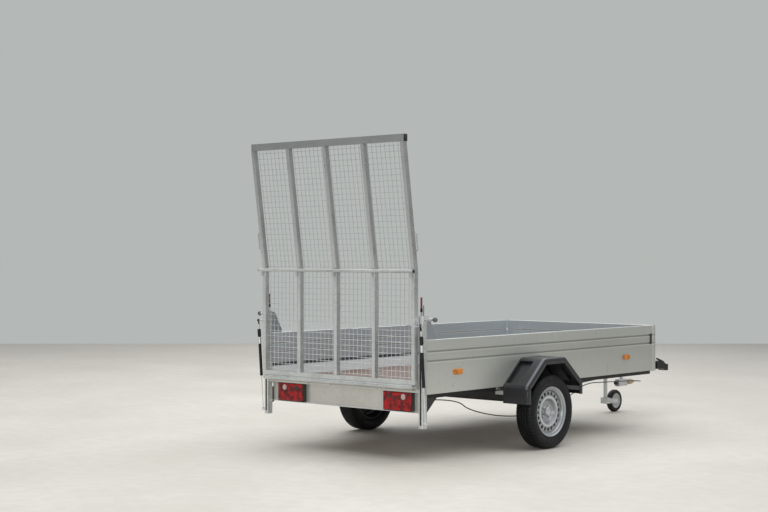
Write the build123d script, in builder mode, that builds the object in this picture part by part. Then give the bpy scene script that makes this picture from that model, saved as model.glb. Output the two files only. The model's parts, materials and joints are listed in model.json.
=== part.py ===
from build123d import *
from math import radians, tan
import os

# Single-axle utility trailer with profiled aluminium sides and a kinked mesh loading ramp.
# Millimetres. +X is the trailer's right, +Y points towards the coupling, +Z is up.
# The origin lies on the ground, midway along the whole length.

os.makedirs("parts", exist_ok=True)

SIDES = (("left", -1), ("right", 1))  # name, sign of X

# ---------------------------------------------------------------- driving dimensions
box_width = 1540
box_length = 3000
wall_bottom = 470
wall_height = 375
wall_thickness = 25
wall_skin = 2
deck_top = 515
deck_thickness = 18
nose_length = 1470  # from the box's front face to the tip of the coupling
track_half = 890  # centre of a tyre from the centre line
axle_from_rear = 1246

tyre_radius = 273.5
tyre_width = 155
rim_flange_radius = 182.5

hinge_back = 48  # ramp hinge line behind the deck's rear edge
hinge_z = 522
ramp_crease_z = 1320
ramp_top_z = 2247
ramp_lean = 7.8  # degrees the upper section leans back from the lower one
ramp_bar_width = 30
ramp_bar_depth = 35
top_rail_height = 50

# ---------------------------------------------------------------- derived places
half_width = box_width / 2
wall_top = wall_bottom + wall_height
deck_bottom = deck_top - deck_thickness
upper_rise = ramp_top_z - top_rail_height - ramp_crease_z  # to the top rail's underside
upper_run = upper_rise * tan(radians(ramp_lean))
rear_overhang = hinge_back + upper_run + ramp_bar_depth / 2
total_length = rear_overhang + box_length + nose_length
rear_y = -total_length / 2 + rear_overhang  # the deck's rear edge
front_y = rear_y + box_length
tip_y = front_y + nose_length
axle_y = rear_y + axle_from_rear
hinge_y = rear_y - hinge_back
inner_x = half_width - wall_thickness  # inner face of a side wall


def mirrored(sign, low, high):
    """The low and high X of a span given for the right side, on the side of the given sign."""
    return (low, high) if sign > 0 else (-high, -low)


# ---------------------------------------------------------------- side rails
rail_width = 50
rail_bottom = 440
rail_wall = 3
pillar_front = 30  # front face of a rear pillar ahead of the deck's rear edge
post_size = 40

panel_face = 42  # the lamp panel's rear face ahead of the deck's rear edge
sheet = 3  # thickness of the folded rear sheet

wall_start = rear_y + pillar_front
rail_start = rear_y + panel_face + sheet
rail_length = front_y - post_size - rail_start
rail_height = deck_bottom - rail_bottom
for side, sign in SIDES:
    with BuildPart() as side_rail:
        with BuildSketch(Plane.XZ.offset(-rail_start)):
            with Locations((sign * (inner_x - rail_width / 2), rail_bottom + rail_height / 2)):
                Rectangle(rail_width, rail_height)
                Rectangle(rail_width - 2 * rail_wall, rail_height - 2 * rail_wall, mode=Mode.SUBTRACT)
        extrude(amount=-rail_length)
    side_rail.part.label = f"side_rail_{side}"
    export_step(side_rail.part, f"parts/side_rail_{side}.step")

# ---------------------------------------------------------------- cross members
# open C-sections between the rails, mouths facing forwards
cross_depth = 40
cross_wall = 3
cross_span = 2 * (inner_x - rail_width)
cross_places = (140, 760, 1376, 2000, 2560, 2915)  # rear face ahead of the deck's rear edge
with BuildPart() as cross_members:
    for place in cross_places:
        with BuildSketch(Plane.YZ.offset(-cross_span / 2)):
            with Locations((rear_y + place + cross_depth / 2, rail_bottom + rail_height / 2)):
                Rectangle(cross_depth, rail_height)
            with Locations((rear_y + place + cross_wall + cross_depth / 2, rail_bottom + rail_height / 2)):
                Rectangle(cross_depth, rail_height - 2 * cross_wall, mode=Mode.SUBTRACT)
        extrude(amount=cross_span)
cross_members.part.label = "cross_members"
export_step(cross_members.part, "parts/cross_members.step")

# ---------------------------------------------------------------- deck
pillar_inner = 738
deck_end = front_y - 28
post_inner = half_width + 5 - post_size
with BuildPart() as deck:
    with BuildSketch(Plane.XY.offset(deck_bottom)):
        with Locations((0, (rear_y + deck_end) / 2)):
            Rectangle(2 * inner_x, deck_end - rear_y)
        # notches round the pillars and the front posts
        for sign in (-1, 1):
            with Locations((sign * (inner_x + pillar_inner) / 2, rear_y + pillar_front / 2)):
                Rectangle(inner_x - pillar_inner, pillar_front, mode=Mode.SUBTRACT)
            with Locations((sign * (inner_x + post_inner) / 2, (front_y - post_size + deck_end) / 2)):
                Rectangle(inner_x - post_inner, deck_end - front_y + post_size, mode=Mode.SUBTRACT)
    extrude(amount=deck_thickness)
deck.part.label = "deck"
export_step(deck.part, "parts/deck.step")

# ---------------------------------------------------------------- walls
# hollow extrusions: two pairs of grooves near the top, chambers between the ribs
groove_depth = 5
groove_height = 9
groove_drops = (80, 146)  # centre of each groove below the top edge
chamber_gaps = ((10, 70), (90, 136), (156, 260), (266, 369))  # top and bottom below the top edge


def wall_section():
    """Section of a wall board, centred on its thickness, from its top edge at 0 downwards."""
    with BuildSketch() as section:
        with Locations((0, -wall_height / 2)):
            RectangleRounded(wall_thickness, wall_height, 3)
        for drop in groove_drops:
            for face in (-1, 1):
                with Locations((face * wall_thickness / 2, -drop)):
                    Rectangle(2 * groove_depth, groove_height, mode=Mode.SUBTRACT)
        for gap_top, gap_bottom in chamber_gaps:
            with Locations((0, -(gap_top + gap_bottom) / 2)):
                Rectangle(wall_thickness - 2 * wall_skin, gap_bottom - gap_top, mode=Mode.SUBTRACT)
    return section.sketch


wall_run = front_y - post_size - wall_start
for side, sign in SIDES:
    with BuildPart() as wall:
        with BuildSketch(Plane.XZ.offset(-wall_start)):
            with Locations((sign * (half_width - wall_thickness / 2), wall_top)):
                add(wall_section())
        extrude(amount=-wall_run)
    wall.part.label = f"wall_{side}"
    export_step(wall.part, f"parts/wall_{side}.step")

front_wall_back = deck_end
with BuildPart() as wall_front:
    with BuildSketch(Plane.YZ.offset(-post_inner)):
        with Locations((front_wall_back + wall_thickness / 2, wall_top)):
            add(wall_section())
    extrude(amount=2 * post_inner)
wall_front.part.label = "wall_front"
export_step(wall_front.part, "parts/wall_front.step")

# ---------------------------------------------------------------- front corner posts
post_top = wall_top + 4
post_wall = 4
with BuildPart() as front_posts:
    for sign in (-1, 1):
        with BuildSketch(Plane.XY.offset(wall_bottom - 4)):
            with Locations((sign * (post_inner + post_size / 2), front_y - post_size / 2)):
                RectangleRounded(post_size, post_size, 9)
                Rectangle(post_size - 2 * post_wall, post_size - 2 * post_wall, mode=Mode.SUBTRACT)
        extrude(amount=post_top - wall_bottom + 4)
front_posts.part.label = "front_posts"
export_step(front_posts.part, "parts/front_posts.step")

# ---------------------------------------------------------------- rear pillars
pillar_outer = 775
pillar_back = 18  # rear face behind the deck's rear edge
pillar_bottom = 240
pillar_top = 1010
pillar_wall = 3
gusset_top = 1000
gusset_reach = 118
gusset_thickness = 5
lower_gusset_reach = 140
lower_gusset_bottom = 325
hinge_pin_radius = 8
hinge_tube_radius = 20
hinge_tube_half = 722
lug_reach = 12
pin_fit = 0.05

pillar_depth = pillar_front + pillar_back
pillar_mid_x = (pillar_inner + pillar_outer) / 2
for side, sign in SIDES:
    with BuildPart() as pillar:
        with BuildSketch(Plane.XY.offset(pillar_bottom)):
            with Locations((sign * pillar_mid_x, rear_y + (pillar_front - pillar_back) / 2)):
                RectangleRounded(pillar_outer - pillar_inner, pillar_depth, 4)
                Rectangle(
                    pillar_outer - pillar_inner - 2 * pillar_wall,
                    pillar_depth - 2 * pillar_wall,
                    mode=Mode.SUBTRACT,
                )
        extrude(amount=pillar_top - pillar_bottom)
        # closing plate on the top
        with BuildSketch(Plane.XY.offset(pillar_top - pillar_wall)):
            with Locations((sign * pillar_mid_x, rear_y + (pillar_front - pillar_back) / 2)):
                RectangleRounded(pillar_outer - pillar_inner, pillar_depth, 4)
        extrude(amount=pillar_wall)
        # sloping brace above the wall and the one under the rail
        with BuildSketch(Plane.YZ.offset(sign * pillar_mid_x - gusset_thickness / 2)):
            with BuildLine():
                Polyline(
                    (wall_start, gusset_top),
                    (wall_start, wall_top),
                    (wall_start + gusset_reach, wall_top),
                    (wall_start + gusset_reach, wall_top + 12),
                    (wall_start + 40, gusset_top),
                    close=True,
                )
            make_face()
        extrude(amount=gusset_thickness)
        with BuildSketch(Plane.YZ.offset(sign * (pillar_inner + gusset_thickness) - gusset_thickness / 2)):
            with BuildLine():
                Polyline(
                    (wall_start, rail_bottom),
                    (wall_start, lower_gusset_bottom),
                    (wall_start + 12, lower_gusset_bottom),
                    (wall_start + lower_gusset_reach, rail_bottom),
                    close=True,
                )
            make_face()
        extrude(amount=gusset_thickness)
        # ear behind the pillar that carries the hinge pin
        ear_low, ear_high = mirrored(sign, pillar_inner, pillar_inner + 8)
        with BuildSketch(Plane.YZ.offset(ear_low)):
            with Locations((hinge_y, hinge_z)):
                Circle(lug_reach)
            with Locations(((hinge_y + rear_y - pillar_back) / 2, hinge_z)):
                Rectangle(rear_y - pillar_back - hinge_y, 2 * lug_reach)
        extrude(amount=ear_high - ear_low)
        pin_low, pin_high = mirrored(sign, hinge_tube_half - 60, pillar_inner + 8)
        with BuildSketch(Plane.YZ.offset(pin_low)):
            with Locations((hinge_y, hinge_z)):
                Circle(hinge_pin_radius)
        extrude(amount=pin_high - pin_low)
    pillar.part.label = f"pillar_{side}"
    export_step(pillar.part, f"parts/pillar_{side}.step")

# ---------------------------------------------------------------- rear sill and lamp panel
# one folded sheet: lip over the deck's edge, flange under the deck, panel, bottom return
sill_top = deck_top + 2
sill_bottom = 482
panel_bottom = 338
panel_return = 16
lamp_bottom = 346
lamp_height = 134
lamp_width = 262
lamp_outer = 655
lamp_depth = 34

with BuildPart() as lamp_board:
    with BuildSketch(Plane.YZ.offset(-pillar_inner)):
        with BuildLine():
            Polyline(
                (rear_y - sheet, sill_bottom),
                (rear_y - sheet, sill_top),
                (rear_y, sill_top),
                (rear_y, deck_bottom),
                (rear_y + panel_face + sheet, deck_bottom),
                (rear_y + panel_face + sheet, panel_bottom),
                (rear_y + panel_face - panel_return, panel_bottom),
                (rear_y + panel_face - panel_return, panel_bottom + sheet),
                (rear_y + panel_face, panel_bottom + sheet),
                (rear_y + panel_face, deck_bottom - sheet),
                (rear_y, deck_bottom - sheet),
                (rear_y, sill_bottom),
                close=True,
            )
        make_face()
    extrude(amount=2 * pillar_inner)
lamp_board.part.label = "lamp_board"
export_step(lamp_board.part, "parts/lamp_board.step")

lamp_x = lamp_outer - lamp_width / 2
lamp_z = lamp_bottom + lamp_height / 2
lamp_rim = 5
lens_proud = 5
with BuildPart() as lamp_housings:
    with BuildSketch(Plane.XZ.offset(-(rear_y + panel_face))):
        with Locations((-lamp_x, lamp_z), (lamp_x, lamp_z)):
            RectangleRounded(lamp_width, lamp_height, 8)
    extrude(amount=lamp_depth)
lamp_housings.part.label = "lamp_housings"
export_step(lamp_housings.part, "parts/lamp_housings.step")

with BuildPart() as lamp_lenses:
    with BuildSketch(Plane.XZ.offset(-(rear_y + panel_face - lamp_depth))):
        with Locations((-lamp_x, lamp_z), (lamp_x, lamp_z)):
            RectangleRounded(lamp_width - 2 * lamp_rim, lamp_height - 2 * lamp_rim, 6)
    extrude(amount=lens_proud)
    chamfer(lamp_lenses.faces().filter_by(Axis.Y).group_by(Axis.Y)[0].edges(), 3)
lamp_lenses.part.label = "lamp_lenses"
export_step(lamp_lenses.part, "parts/lamp_lenses.step")

# ---------------------------------------------------------------- side markers
marker_width = 92
marker_height = 40
marker_depth = 12
marker_places = ((370, 612), (2551, 602))  # ahead of the deck's rear edge, height
with BuildPart() as side_markers:
    for sign in (-1, 1):
        face_x, marker_end = mirrored(sign, half_width, half_width + marker_depth)
        with BuildSketch(Plane.YZ.offset(face_x)):
            for place, height in marker_places:
                with Locations((rear_y + place, height)):
                    RectangleRounded(marker_width, marker_height, 8)
        extrude(amount=marker_depth)
    chamfer(side_markers.faces().filter_by(Axis.X).group_by(Axis.X)[0].edges(), 4)
    chamfer(side_markers.faces().filter_by(Axis.X).group_by(Axis.X)[-1].edges(), 4)
side_markers.part.label = "side_markers"
export_step(side_markers.part, "parts/side_markers.step")

# ---------------------------------------------------------------- ramp latches
# a spring bolt across each pillar's top with an upright release lever
latch_z = 987
latch_y = rear_y + 14
latch_tube_radius = 10
latch_tube_reach = 843
latch_tube_inside = 20
knob_x = 859
knob_radius = 17
grip_bottom = 1060
grip_top = 1137
grip_x = 746
grip_y = rear_y + 4
grip_width = 13
grip_depth = 12
lever_width = 10
lever_depth = 8

with BuildPart() as latch_levers:
    for sign in (-1, 1):
        bolt_low, bolt_high = mirrored(sign, pillar_outer, latch_tube_reach)
        with BuildSketch(Plane.YZ.offset(bolt_low)):
            with Locations((latch_y, latch_z)):
                Circle(latch_tube_radius)
        extrude(amount=bolt_high - bolt_low)
        with BuildSketch(Plane.XY.offset(pillar_top)):
            with Locations((sign * grip_x, grip_y)):
                Rectangle(lever_width, lever_depth)
        extrude(amount=grip_bottom - pillar_top)
latch_levers.part.label = "latch_levers"
export_step(latch_levers.part, "parts/latch_levers.step")

with BuildPart() as latch_grips:
    for sign in (-1, 1):
        with BuildSketch(Plane.XY.offset(grip_bottom)):
            with Locations((sign * grip_x, grip_y)):
                RectangleRounded(grip_width, grip_depth, 5)
        extrude(amount=grip_top - grip_bottom)
        # ball knob, flat where it meets the bolt's tube
        with BuildSketch(Plane.XZ.offset(-latch_y)):
            with Locations((sign * knob_x, latch_z)):
                Circle(knob_radius)
            with Locations((sign * (latch_tube_reach - knob_radius), latch_z)):
                Rectangle(2 * knob_radius, 2 * knob_radius, mode=Mode.SUBTRACT)
            with Locations((sign * knob_x, latch_z - knob_radius)):
                Rectangle(4 * knob_radius, 2 * knob_radius, mode=Mode.SUBTRACT)
        revolve(axis=Axis((0, latch_y, latch_z), (1, 0, 0)))
latch_grips.part.label = "latch_grips"
export_step(latch_grips.part, "parts/latch_grips.step")

# ---------------------------------------------------------------- axle
# square torsion tube ahead of the hubs, swing arms trailing from its ends
axle_tube = 80
axle_wall = 5
axle_ahead = 150
axle_z = 345
axle_half = 738
arm_thickness = 28
arm_root_radius = 34
arm_end_radius = 28
stub_radius = 16
hub_z = tyre_radius
pad_wall = 6
pad_length = 120
pad_x = 716
pad_half_gap = 15

with BuildPart() as axle_beam:
    with BuildSketch(Plane.YZ.offset(-axle_half)):
        with Locations((axle_y + axle_ahead, axle_z)):
            RectangleRounded(axle_tube, axle_tube, 10)
            Rectangle(axle_tube - 2 * axle_wall, axle_tube - 2 * axle_wall, mode=Mode.SUBTRACT)
    extrude(amount=2 * axle_half)
    # upright plates from the tube to the rails
    for sign in (-1, 1):
        for edge in (-1, 1):
            with BuildSketch(Plane.YZ.offset(sign * pad_x + edge * pad_half_gap - pad_wall / 2)):
                with BuildLine():
                    Polyline(
                        (axle_y + axle_ahead - axle_tube / 2 + 8, axle_z + axle_tube / 2 - 2),
                        (axle_y + axle_ahead + axle_tube / 2 - 8, axle_z + axle_tube / 2 - 2),
                        (axle_y + axle_ahead + pad_length / 2, rail_bottom),
                        (axle_y + axle_ahead - pad_length / 2, rail_bottom),
                        close=True,
                    )
                make_face()
            extrude(amount=pad_wall)
axle_beam.part.label = "axle_beam"
export_step(axle_beam.part, "parts/axle_beam.step")

stub_end_x = 900
with BuildPart() as swing_arms:
    for sign in (-1, 1):
        arm_low, arm_high = mirrored(sign, axle_half, axle_half + arm_thickness)
        with BuildSketch(Plane.YZ.offset(arm_low)):
            with Locations((axle_y + axle_ahead, axle_z)):
                Circle(arm_root_radius)
            with Locations((axle_y, hub_z)):
                Circle(arm_end_radius)
            make_hull()
        extrude(amount=arm_high - arm_low)
        stub_low, stub_high = mirrored(sign, axle_half + arm_thickness, stub_end_x)
        with BuildSketch(Plane.YZ.offset(stub_low)):
            with Locations((axle_y, hub_z)):
                Circle(stub_radius)
        extrude(amount=stub_high - stub_low)
swing_arms.part.label = "swing_arms"
export_step(swing_arms.part, "parts/swing_arms.step")

# ---------------------------------------------------------------- wheels
# half sections as (radius, distance outboard of the tyre's middle)
tyre_outer = (
    (182.5, -58),
    (215, -77.5),
    (254, -72),
    (273.5, -48),
    (273.5, 48),
    (254, 72),
    (215, 77.5),
    (182.5, 58),
)
tyre_inner = ((172, 48), (215, 66), (260, 44), (260, -44), (215, -66), (172, -48))

rim_section = (
    (182.5, 64),
    (182.5, 58),
    (172, 55),
    (152, 24),
    (152, -34),
    (172, -55),
    (182.5, -58),
    (182.5, -64),
    (168, -60),
    (147, -35),
    (147, 26),
    (118, 31),
    (106, 34),
    (92, 24),
    (75, 2),
    (33, 2),
    (33, 8),
    (72, 8),
    (88, 30),
    (104, 40),
    (110, 40),
    (120, 36),
    (147, 33),
    (153, 33),
    (168, 60),
)
hub_section = (
    (16.05, -85),
    (40, -85),
    (40, -62),
    (62, -55),
    (62, 2),
    (31, 2),
    (31, 34),
    (24, 40),
    (0, 41),
    (0, 16),
    (16.05, 16),
)
vent_count = 20
vent_circle = 134
vent_radius = 9.5
vent_sides = 8


def ring(points):
    """The closed outline of a section turned about the X axis, in the XZ plane."""
    Polyline(*[(outboard, radius) for radius, outboard in points], close=True)


for side, sign in SIDES:
    centre = (sign * track_half, axle_y, hub_z)
    spin = Axis(centre, (1, 0, 0))
    turned = Plane(origin=centre, x_dir=(sign, 0, 0), z_dir=(0, -sign, 0))

    with BuildPart() as tyre:
        with BuildSketch(turned):
            with BuildLine():
                ring(tyre_outer + tyre_inner)
            make_face()
        revolve(axis=spin)
    tyre.part.label = f"tyre_{side}"
    export_step(tyre.part, f"parts/tyre_{side}.step")

    with BuildPart() as rim:
        with BuildSketch(turned):
            with BuildLine():
                ring(rim_section)
            make_face()
        revolve(axis=spin)
        with BuildSketch(Plane(origin=(sign * (track_half + 40), axle_y, hub_z), z_dir=(-sign, 0, 0))):
            with PolarLocations(vent_circle, vent_count):
                RegularPolygon(vent_radius, vent_sides)
        extrude(amount=40, mode=Mode.SUBTRACT)
    rim.part.label = f"rim_{side}"
    export_step(rim.part, f"parts/rim_{side}.step")

    with BuildPart() as hub:
        with BuildSketch(turned):
            with BuildLine():
                ring(hub_section)
            make_face()
        revolve(axis=spin)
    hub.part.label = f"hub_{side}"
    export_step(hub.part, f"parts/hub_{side}.step")

# ---------------------------------------------------------------- mudguards
guard_inner_x = half_width
guard_outer_x = 990
guard_wall = 4
guard_lip = 45
guard_top = 673
guard_flat = 130  # half length of the flat top
guard_rear = -350  # rear and front walls, from the axle
guard_front = 360
guard_shoulder = 480
guard_rear_bottom = 350
guard_front_bottom = 383
guard_below = 300  # where the outline is closed before its foot is cut off
guard_web_bottom = 445  # the inner web ends above the stays
stay_height = 30
stay_thickness = 5


def guard_outline():
    """Side outline of a mudguard as a closed face, its foot lower than the real one."""
    with BuildSketch() as outline:
        with BuildLine():
            Polyline(
                (axle_y + guard_rear, guard_below),
                (axle_y + guard_rear, guard_shoulder),
                (axle_y - guard_flat, guard_top),
                (axle_y + guard_flat, guard_top),
                (axle_y + guard_front, guard_shoulder),
                (axle_y + guard_front, guard_below),
                close=True,
            )
        make_face()
    return outline.sketch


def guard_band(depth):
    """The strip of that outline of the given depth, open at the foot."""
    with BuildSketch() as band:
        add(guard_outline())
        offset(guard_outline(), amount=-depth, kind=Kind.INTERSECTION, mode=Mode.SUBTRACT)
        with Locations((axle_y, guard_below)):
            Rectangle(3 * guard_front, 2 * (guard_rear_bottom - guard_below), mode=Mode.SUBTRACT)
        with Locations((axle_y + guard_front, guard_below)):
            Rectangle(guard_front, 2 * (guard_front_bottom - guard_below), mode=Mode.SUBTRACT)
    return band.sketch


for side, sign in SIDES:
    with BuildPart() as mudguard:
        guard_low, guard_high = mirrored(sign, guard_inner_x, guard_outer_x)
        with BuildSketch(Plane.YZ.offset(guard_low)):
            add(guard_band(guard_wall))
        extrude(amount=guard_high - guard_low)
        lip_low, lip_high = mirrored(sign, guard_outer_x - guard_wall, guard_outer_x)
        with BuildSketch(Plane.YZ.offset(lip_low)):
            add(guard_band(guard_lip))
        extrude(amount=lip_high - lip_low)
        # web that closes the arch against the box
        web_low, web_high = mirrored(sign, guard_inner_x, guard_inner_x + guard_wall)
        with BuildSketch(Plane.YZ.offset(web_low)):
            add(guard_outline())
            with Locations((axle_y, guard_below)):
                Rectangle(3 * guard_front, 2 * (guard_web_bottom - guard_below), mode=Mode.SUBTRACT)
        extrude(amount=web_high - web_low)
    mudguard.part.label = f"mudguard_{side}"
    export_step(mudguard.part, f"parts/mudguard_{side}.step")

stay_places = (guard_rear + guard_wall, guard_front - guard_wall - stay_thickness)
with BuildPart() as mudguard_stays:
    for sign in (-1, 1):
        stay_low, stay_high = mirrored(sign, inner_x - rail_width + 2, guard_outer_x - guard_wall)
        for place in stay_places:
            with BuildSketch(Plane.YZ.offset(stay_low)):
                with Locations((axle_y + place + stay_thickness / 2, rail_bottom - stay_height / 2)):
                    Rectangle(stay_thickness, stay_height)
            extrude(amount=stay_high - stay_low)
mudguard_stays.part.label = "mudguard_stays"
export_step(mudguard_stays.part, "parts/mudguard_stays.step")

# ---------------------------------------------------------------- drawbar
# two box beams in a V under the rails, a short central tube between their front ends
beam_width = 40
beam_height = 62
beam_wall = 3
beam_root = (650, axle_y + 200)
beam_front = (50, front_y + 800)
nose_back = front_y + 520
nose_front = tip_y - 190
nose_width = 60
plate_half = 78
plate_thickness = 5
beam_z = rail_bottom - beam_height / 2

for side, sign in SIDES:
    with BuildPart() as drawbar_beam:
        root = Vector(sign * beam_root[0], beam_root[1], beam_z)
        front = Vector(sign * beam_front[0], beam_front[1], beam_z)
        along = (front - root).normalized()
        with BuildSketch(Plane(origin=root, x_dir=(along.Y, -along.X, 0), z_dir=along)):
            Rectangle(beam_width, beam_height)
            Rectangle(beam_width - 2 * beam_wall, beam_height - 2 * beam_wall, mode=Mode.SUBTRACT)
        extrude(amount=(front - root).length)
    drawbar_beam.part.label = f"drawbar_beam_{side}"
    export_step(drawbar_beam.part, f"parts/drawbar_beam_{side}.step")

with BuildPart() as drawbar_nose:
    with BuildSketch(Plane.XZ.offset(-nose_back)):
        with Locations((0, beam_z)):
            Rectangle(nose_width, beam_height)
            Rectangle(nose_width - 2 * beam_wall, beam_height - 2 * beam_wall, mode=Mode.SUBTRACT)
    extrude(amount=-(nose_front - nose_back))
    # joining plates over and under the three tubes
    for level in (rail_bottom, rail_bottom - beam_height - plate_thickness):
        with BuildSketch(Plane.XY.offset(level)):
            with BuildLine():
                Polyline(
                    (-plate_half - 45, nose_back),
                    (plate_half + 45, nose_back),
                    (plate_half, beam_front[1] + 10),
                    (-plate_half, beam_front[1] + 10),
                    close=True,
                )
            make_face()
        extrude(amount=plate_thickness)
drawbar_nose.part.label = "drawbar_nose"
export_step(drawbar_nose.part, "parts/drawbar_nose.step")

# ---------------------------------------------------------------- coupling head
coupling_back = tip_y - 225
coupling_half = 36
ball_y = tip_y - 36
ball_z = 376
socket_radius = 25.4
socket_floor = 349
head_fillet = 5
lever_half = 9

with BuildPart() as coupling_head:
    with BuildSketch(Plane.YZ.offset(-coupling_half)):
        with BuildLine():
            Polyline(
                (coupling_back, beam_z - beam_height / 2 - 7),
                (coupling_back, beam_z + beam_height / 2 + 6),
                (tip_y - 118, beam_z + beam_height / 2 + 4),
                (tip_y - 70, 412),
                (tip_y - 12, 404),
                (tip_y, 392),
                (tip_y, socket_floor),
                (tip_y - 72, socket_floor),
                (tip_y - 112, beam_z - beam_height / 2 - 7),
                close=True,
            )
        make_face()
    extrude(amount=2 * coupling_half)
    # rounded in plan
    with BuildSketch(Plane.XY.offset(rail_bottom - beam_height)):
        with Locations((0, (coupling_back + tip_y - 100) / 2)):
            Rectangle(2 * coupling_half, tip_y - 100 - coupling_back)
        with Locations((0, tip_y - coupling_half)):
            Circle(coupling_half)
        make_hull()
    extrude(amount=-beam_height, both=True, mode=Mode.INTERSECT)
    # sleeve round the nose tube, socket for the ball
    with BuildSketch(Plane.XZ.offset(-coupling_back)):
        with Locations((0, beam_z)):
            Rectangle(nose_width, beam_height)
    extrude(amount=-(nose_front - coupling_back), mode=Mode.SUBTRACT)
    with Locations((0, ball_y, ball_z)):
        Sphere(socket_radius, mode=Mode.SUBTRACT)
    with BuildSketch(Plane.XY.offset(socket_floor)):
        with Locations((0, ball_y)):
            Circle(socket_radius)
    extrude(amount=ball_z - socket_floor, mode=Mode.SUBTRACT)
    # release lever on top
    with BuildSketch(Plane.YZ.offset(-lever_half)):
        with BuildLine():
            Polyline(
                (tip_y - 60, 405),
                (tip_y - 66, 436),
                (tip_y - 168, 468),
                (tip_y - 172, 458),
                (tip_y - 84, 428),
                (tip_y - 80, 405),
                close=True,
            )
        make_face()
    extrude(amount=2 * lever_half)
coupling_head.part.label = "coupling_head"
export_step(coupling_head.part, "parts/coupling_head.step")

# ---------------------------------------------------------------- jockey wheel
# clamp and outer tube on the left beam, sliding leg, swivelling fork that trails the wheel
jockey_x = -137
jockey_y = rear_y + 3640
leg_radius = 18
leg_bore = 13
leg_top = 470
leg_bottom = 138
spigot_radius = 11
spigot_bottom = 84
sleeve_radius = 24
sleeve_bottom = 330
sleeve_top = 640
clamp_radius = 33
clamp_bottom = 384
clamp_top = 434
clamp_half = 22
beam_slope = (beam_root[0] - beam_front[0]) / (beam_front[1] - beam_root[1])
beam_side = beam_width / 2 * (1 + beam_slope**2) ** 0.5  # half the beam's width measured along X


def beam_face(y):
    """X of the left beam's outer face at a given Y."""
    return -beam_front[0] - beam_slope * (beam_front[1] - y) - beam_side


with BuildPart() as jockey_sleeve:
    with BuildSketch(Plane.XY.offset(sleeve_bottom)):
        with Locations((jockey_x, jockey_y)):
            Circle(sleeve_radius)
    extrude(amount=sleeve_top - sleeve_bottom)
    # clamp collar with its pad on the beam's side
    with BuildSketch(Plane.XY.offset(clamp_bottom)):
        with Locations((jockey_x, jockey_y)):
            Circle(clamp_radius)
        with BuildLine():
            Polyline(
                (jockey_x, jockey_y - clamp_half),
                (beam_face(jockey_y - clamp_half), jockey_y - clamp_half),
                (beam_face(jockey_y + clamp_half), jockey_y + clamp_half),
                (jockey_x, jockey_y + clamp_half),
                close=True,
            )
        make_face()
        with BuildLine():
            Polyline(
                (beam_face(jockey_y - clamp_radius), jockey_y - clamp_radius),
                (0, jockey_y - clamp_radius),
                (0, jockey_y + clamp_radius),
                (beam_face(jockey_y + clamp_radius), jockey_y + clamp_radius),
                close=True,
            )
        make_face(mode=Mode.SUBTRACT)
    extrude(amount=clamp_top - clamp_bottom)
    with BuildSketch(Plane.XY.offset(sleeve_bottom)):
        with Locations((jockey_x, jockey_y)):
            Circle(leg_radius + pin_fit)
    extrude(amount=sleeve_top - sleeve_bottom, mode=Mode.SUBTRACT)
jockey_sleeve.part.label = "jockey_sleeve"
export_step(jockey_sleeve.part, "parts/jockey_sleeve.step")

# crank on the outer tube's cap
crank_cap = 12
crank_neck = 22
crank_rod = 6
crank_reach = 95
crank_handle = 70
with BuildPart() as jockey_crank:
    with BuildSketch(Plane.XY.offset(sleeve_top)):
        with Locations((jockey_x, jockey_y)):
            Circle(sleeve_radius + 2)
    extrude(amount=crank_cap)
    with BuildLine() as crank_path:
        FilletPolyline(
            (jockey_x, jockey_y, sleeve_top + crank_cap - 4),
            (jockey_x, jockey_y, sleeve_top + crank_cap + crank_neck),
            (jockey_x, jockey_y - crank_reach, sleeve_top + crank_cap + crank_neck),
            (jockey_x, jockey_y - crank_reach, sleeve_top + crank_cap + crank_neck - crank_handle),
            radius=14,
        )
    with BuildSketch(Plane(crank_path.line @ 0, z_dir=crank_path.line % 0)):
        Circle(crank_rod)
    sweep(path=crank_path.line)
jockey_crank.part.label = "jockey_crank"
export_step(jockey_crank.part, "parts/jockey_crank.step")

with BuildPart() as jockey_leg:
    with BuildSketch(Plane.XY.offset(leg_bottom)):
        with Locations((jockey_x, jockey_y)):
            Circle(leg_radius)
    extrude(amount=leg_top - leg_bottom)
    with BuildSketch(Plane.XY.offset(leg_bottom + 10)):
        with Locations((jockey_x, jockey_y)):
            Circle(leg_bore)
    extrude(amount=leg_top - leg_bottom - 10, mode=Mode.SUBTRACT)
    with BuildSketch(Plane.XY.offset(spigot_bottom)):
        with Locations((jockey_x, jockey_y)):
            Circle(spigot_radius)
    extrude(amount=leg_bottom - spigot_bottom)
jockey_leg.part.label = "jockey_leg"
export_step(jockey_leg.part, "parts/jockey_leg.step")

jockey_radius = 100
jockey_trail = 146
jockey_half = 25
fork_inner = 29  # half the gap between the fork's arms
fork_wall = 5
fork_low = 84
fork_back = 25
axle_pin_radius = 6
with BuildPart() as jockey_fork:
    # arms beside the wheel
    for sign in (-1, 1):
        arm_low, arm_high = mirrored(sign, fork_inner, fork_inner + fork_wall)
        with BuildSketch(Plane.YZ.offset(jockey_x + arm_low)):
            with Locations((jockey_y - fork_back + 5, (fork_low + leg_bottom) / 2)):
                Rectangle(10, leg_bottom - fork_low)
            with Locations((jockey_y + jockey_trail, jockey_radius)):
                Circle(15)
            make_hull()
        extrude(amount=arm_high - arm_low)
    # block between them that turns on the leg's spigot
    with BuildSketch(Plane.XY.offset(fork_low)):
        with Locations((jockey_x, jockey_y - (fork_back - 22) / 2)):
            Rectangle(2 * fork_inner, fork_back + 22)
        with Locations((jockey_x, jockey_y)):
            Circle(spigot_radius + pin_fit, mode=Mode.SUBTRACT)
    extrude(amount=leg_bottom - fork_low)
    # axle through the wheel
    with BuildSketch(Plane.YZ.offset(jockey_x - fork_inner)):
        with Locations((jockey_y + jockey_trail, jockey_radius)):
            Circle(axle_pin_radius)
    extrude(amount=2 * fork_inner)
jockey_fork.part.label = "jockey_fork"
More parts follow.
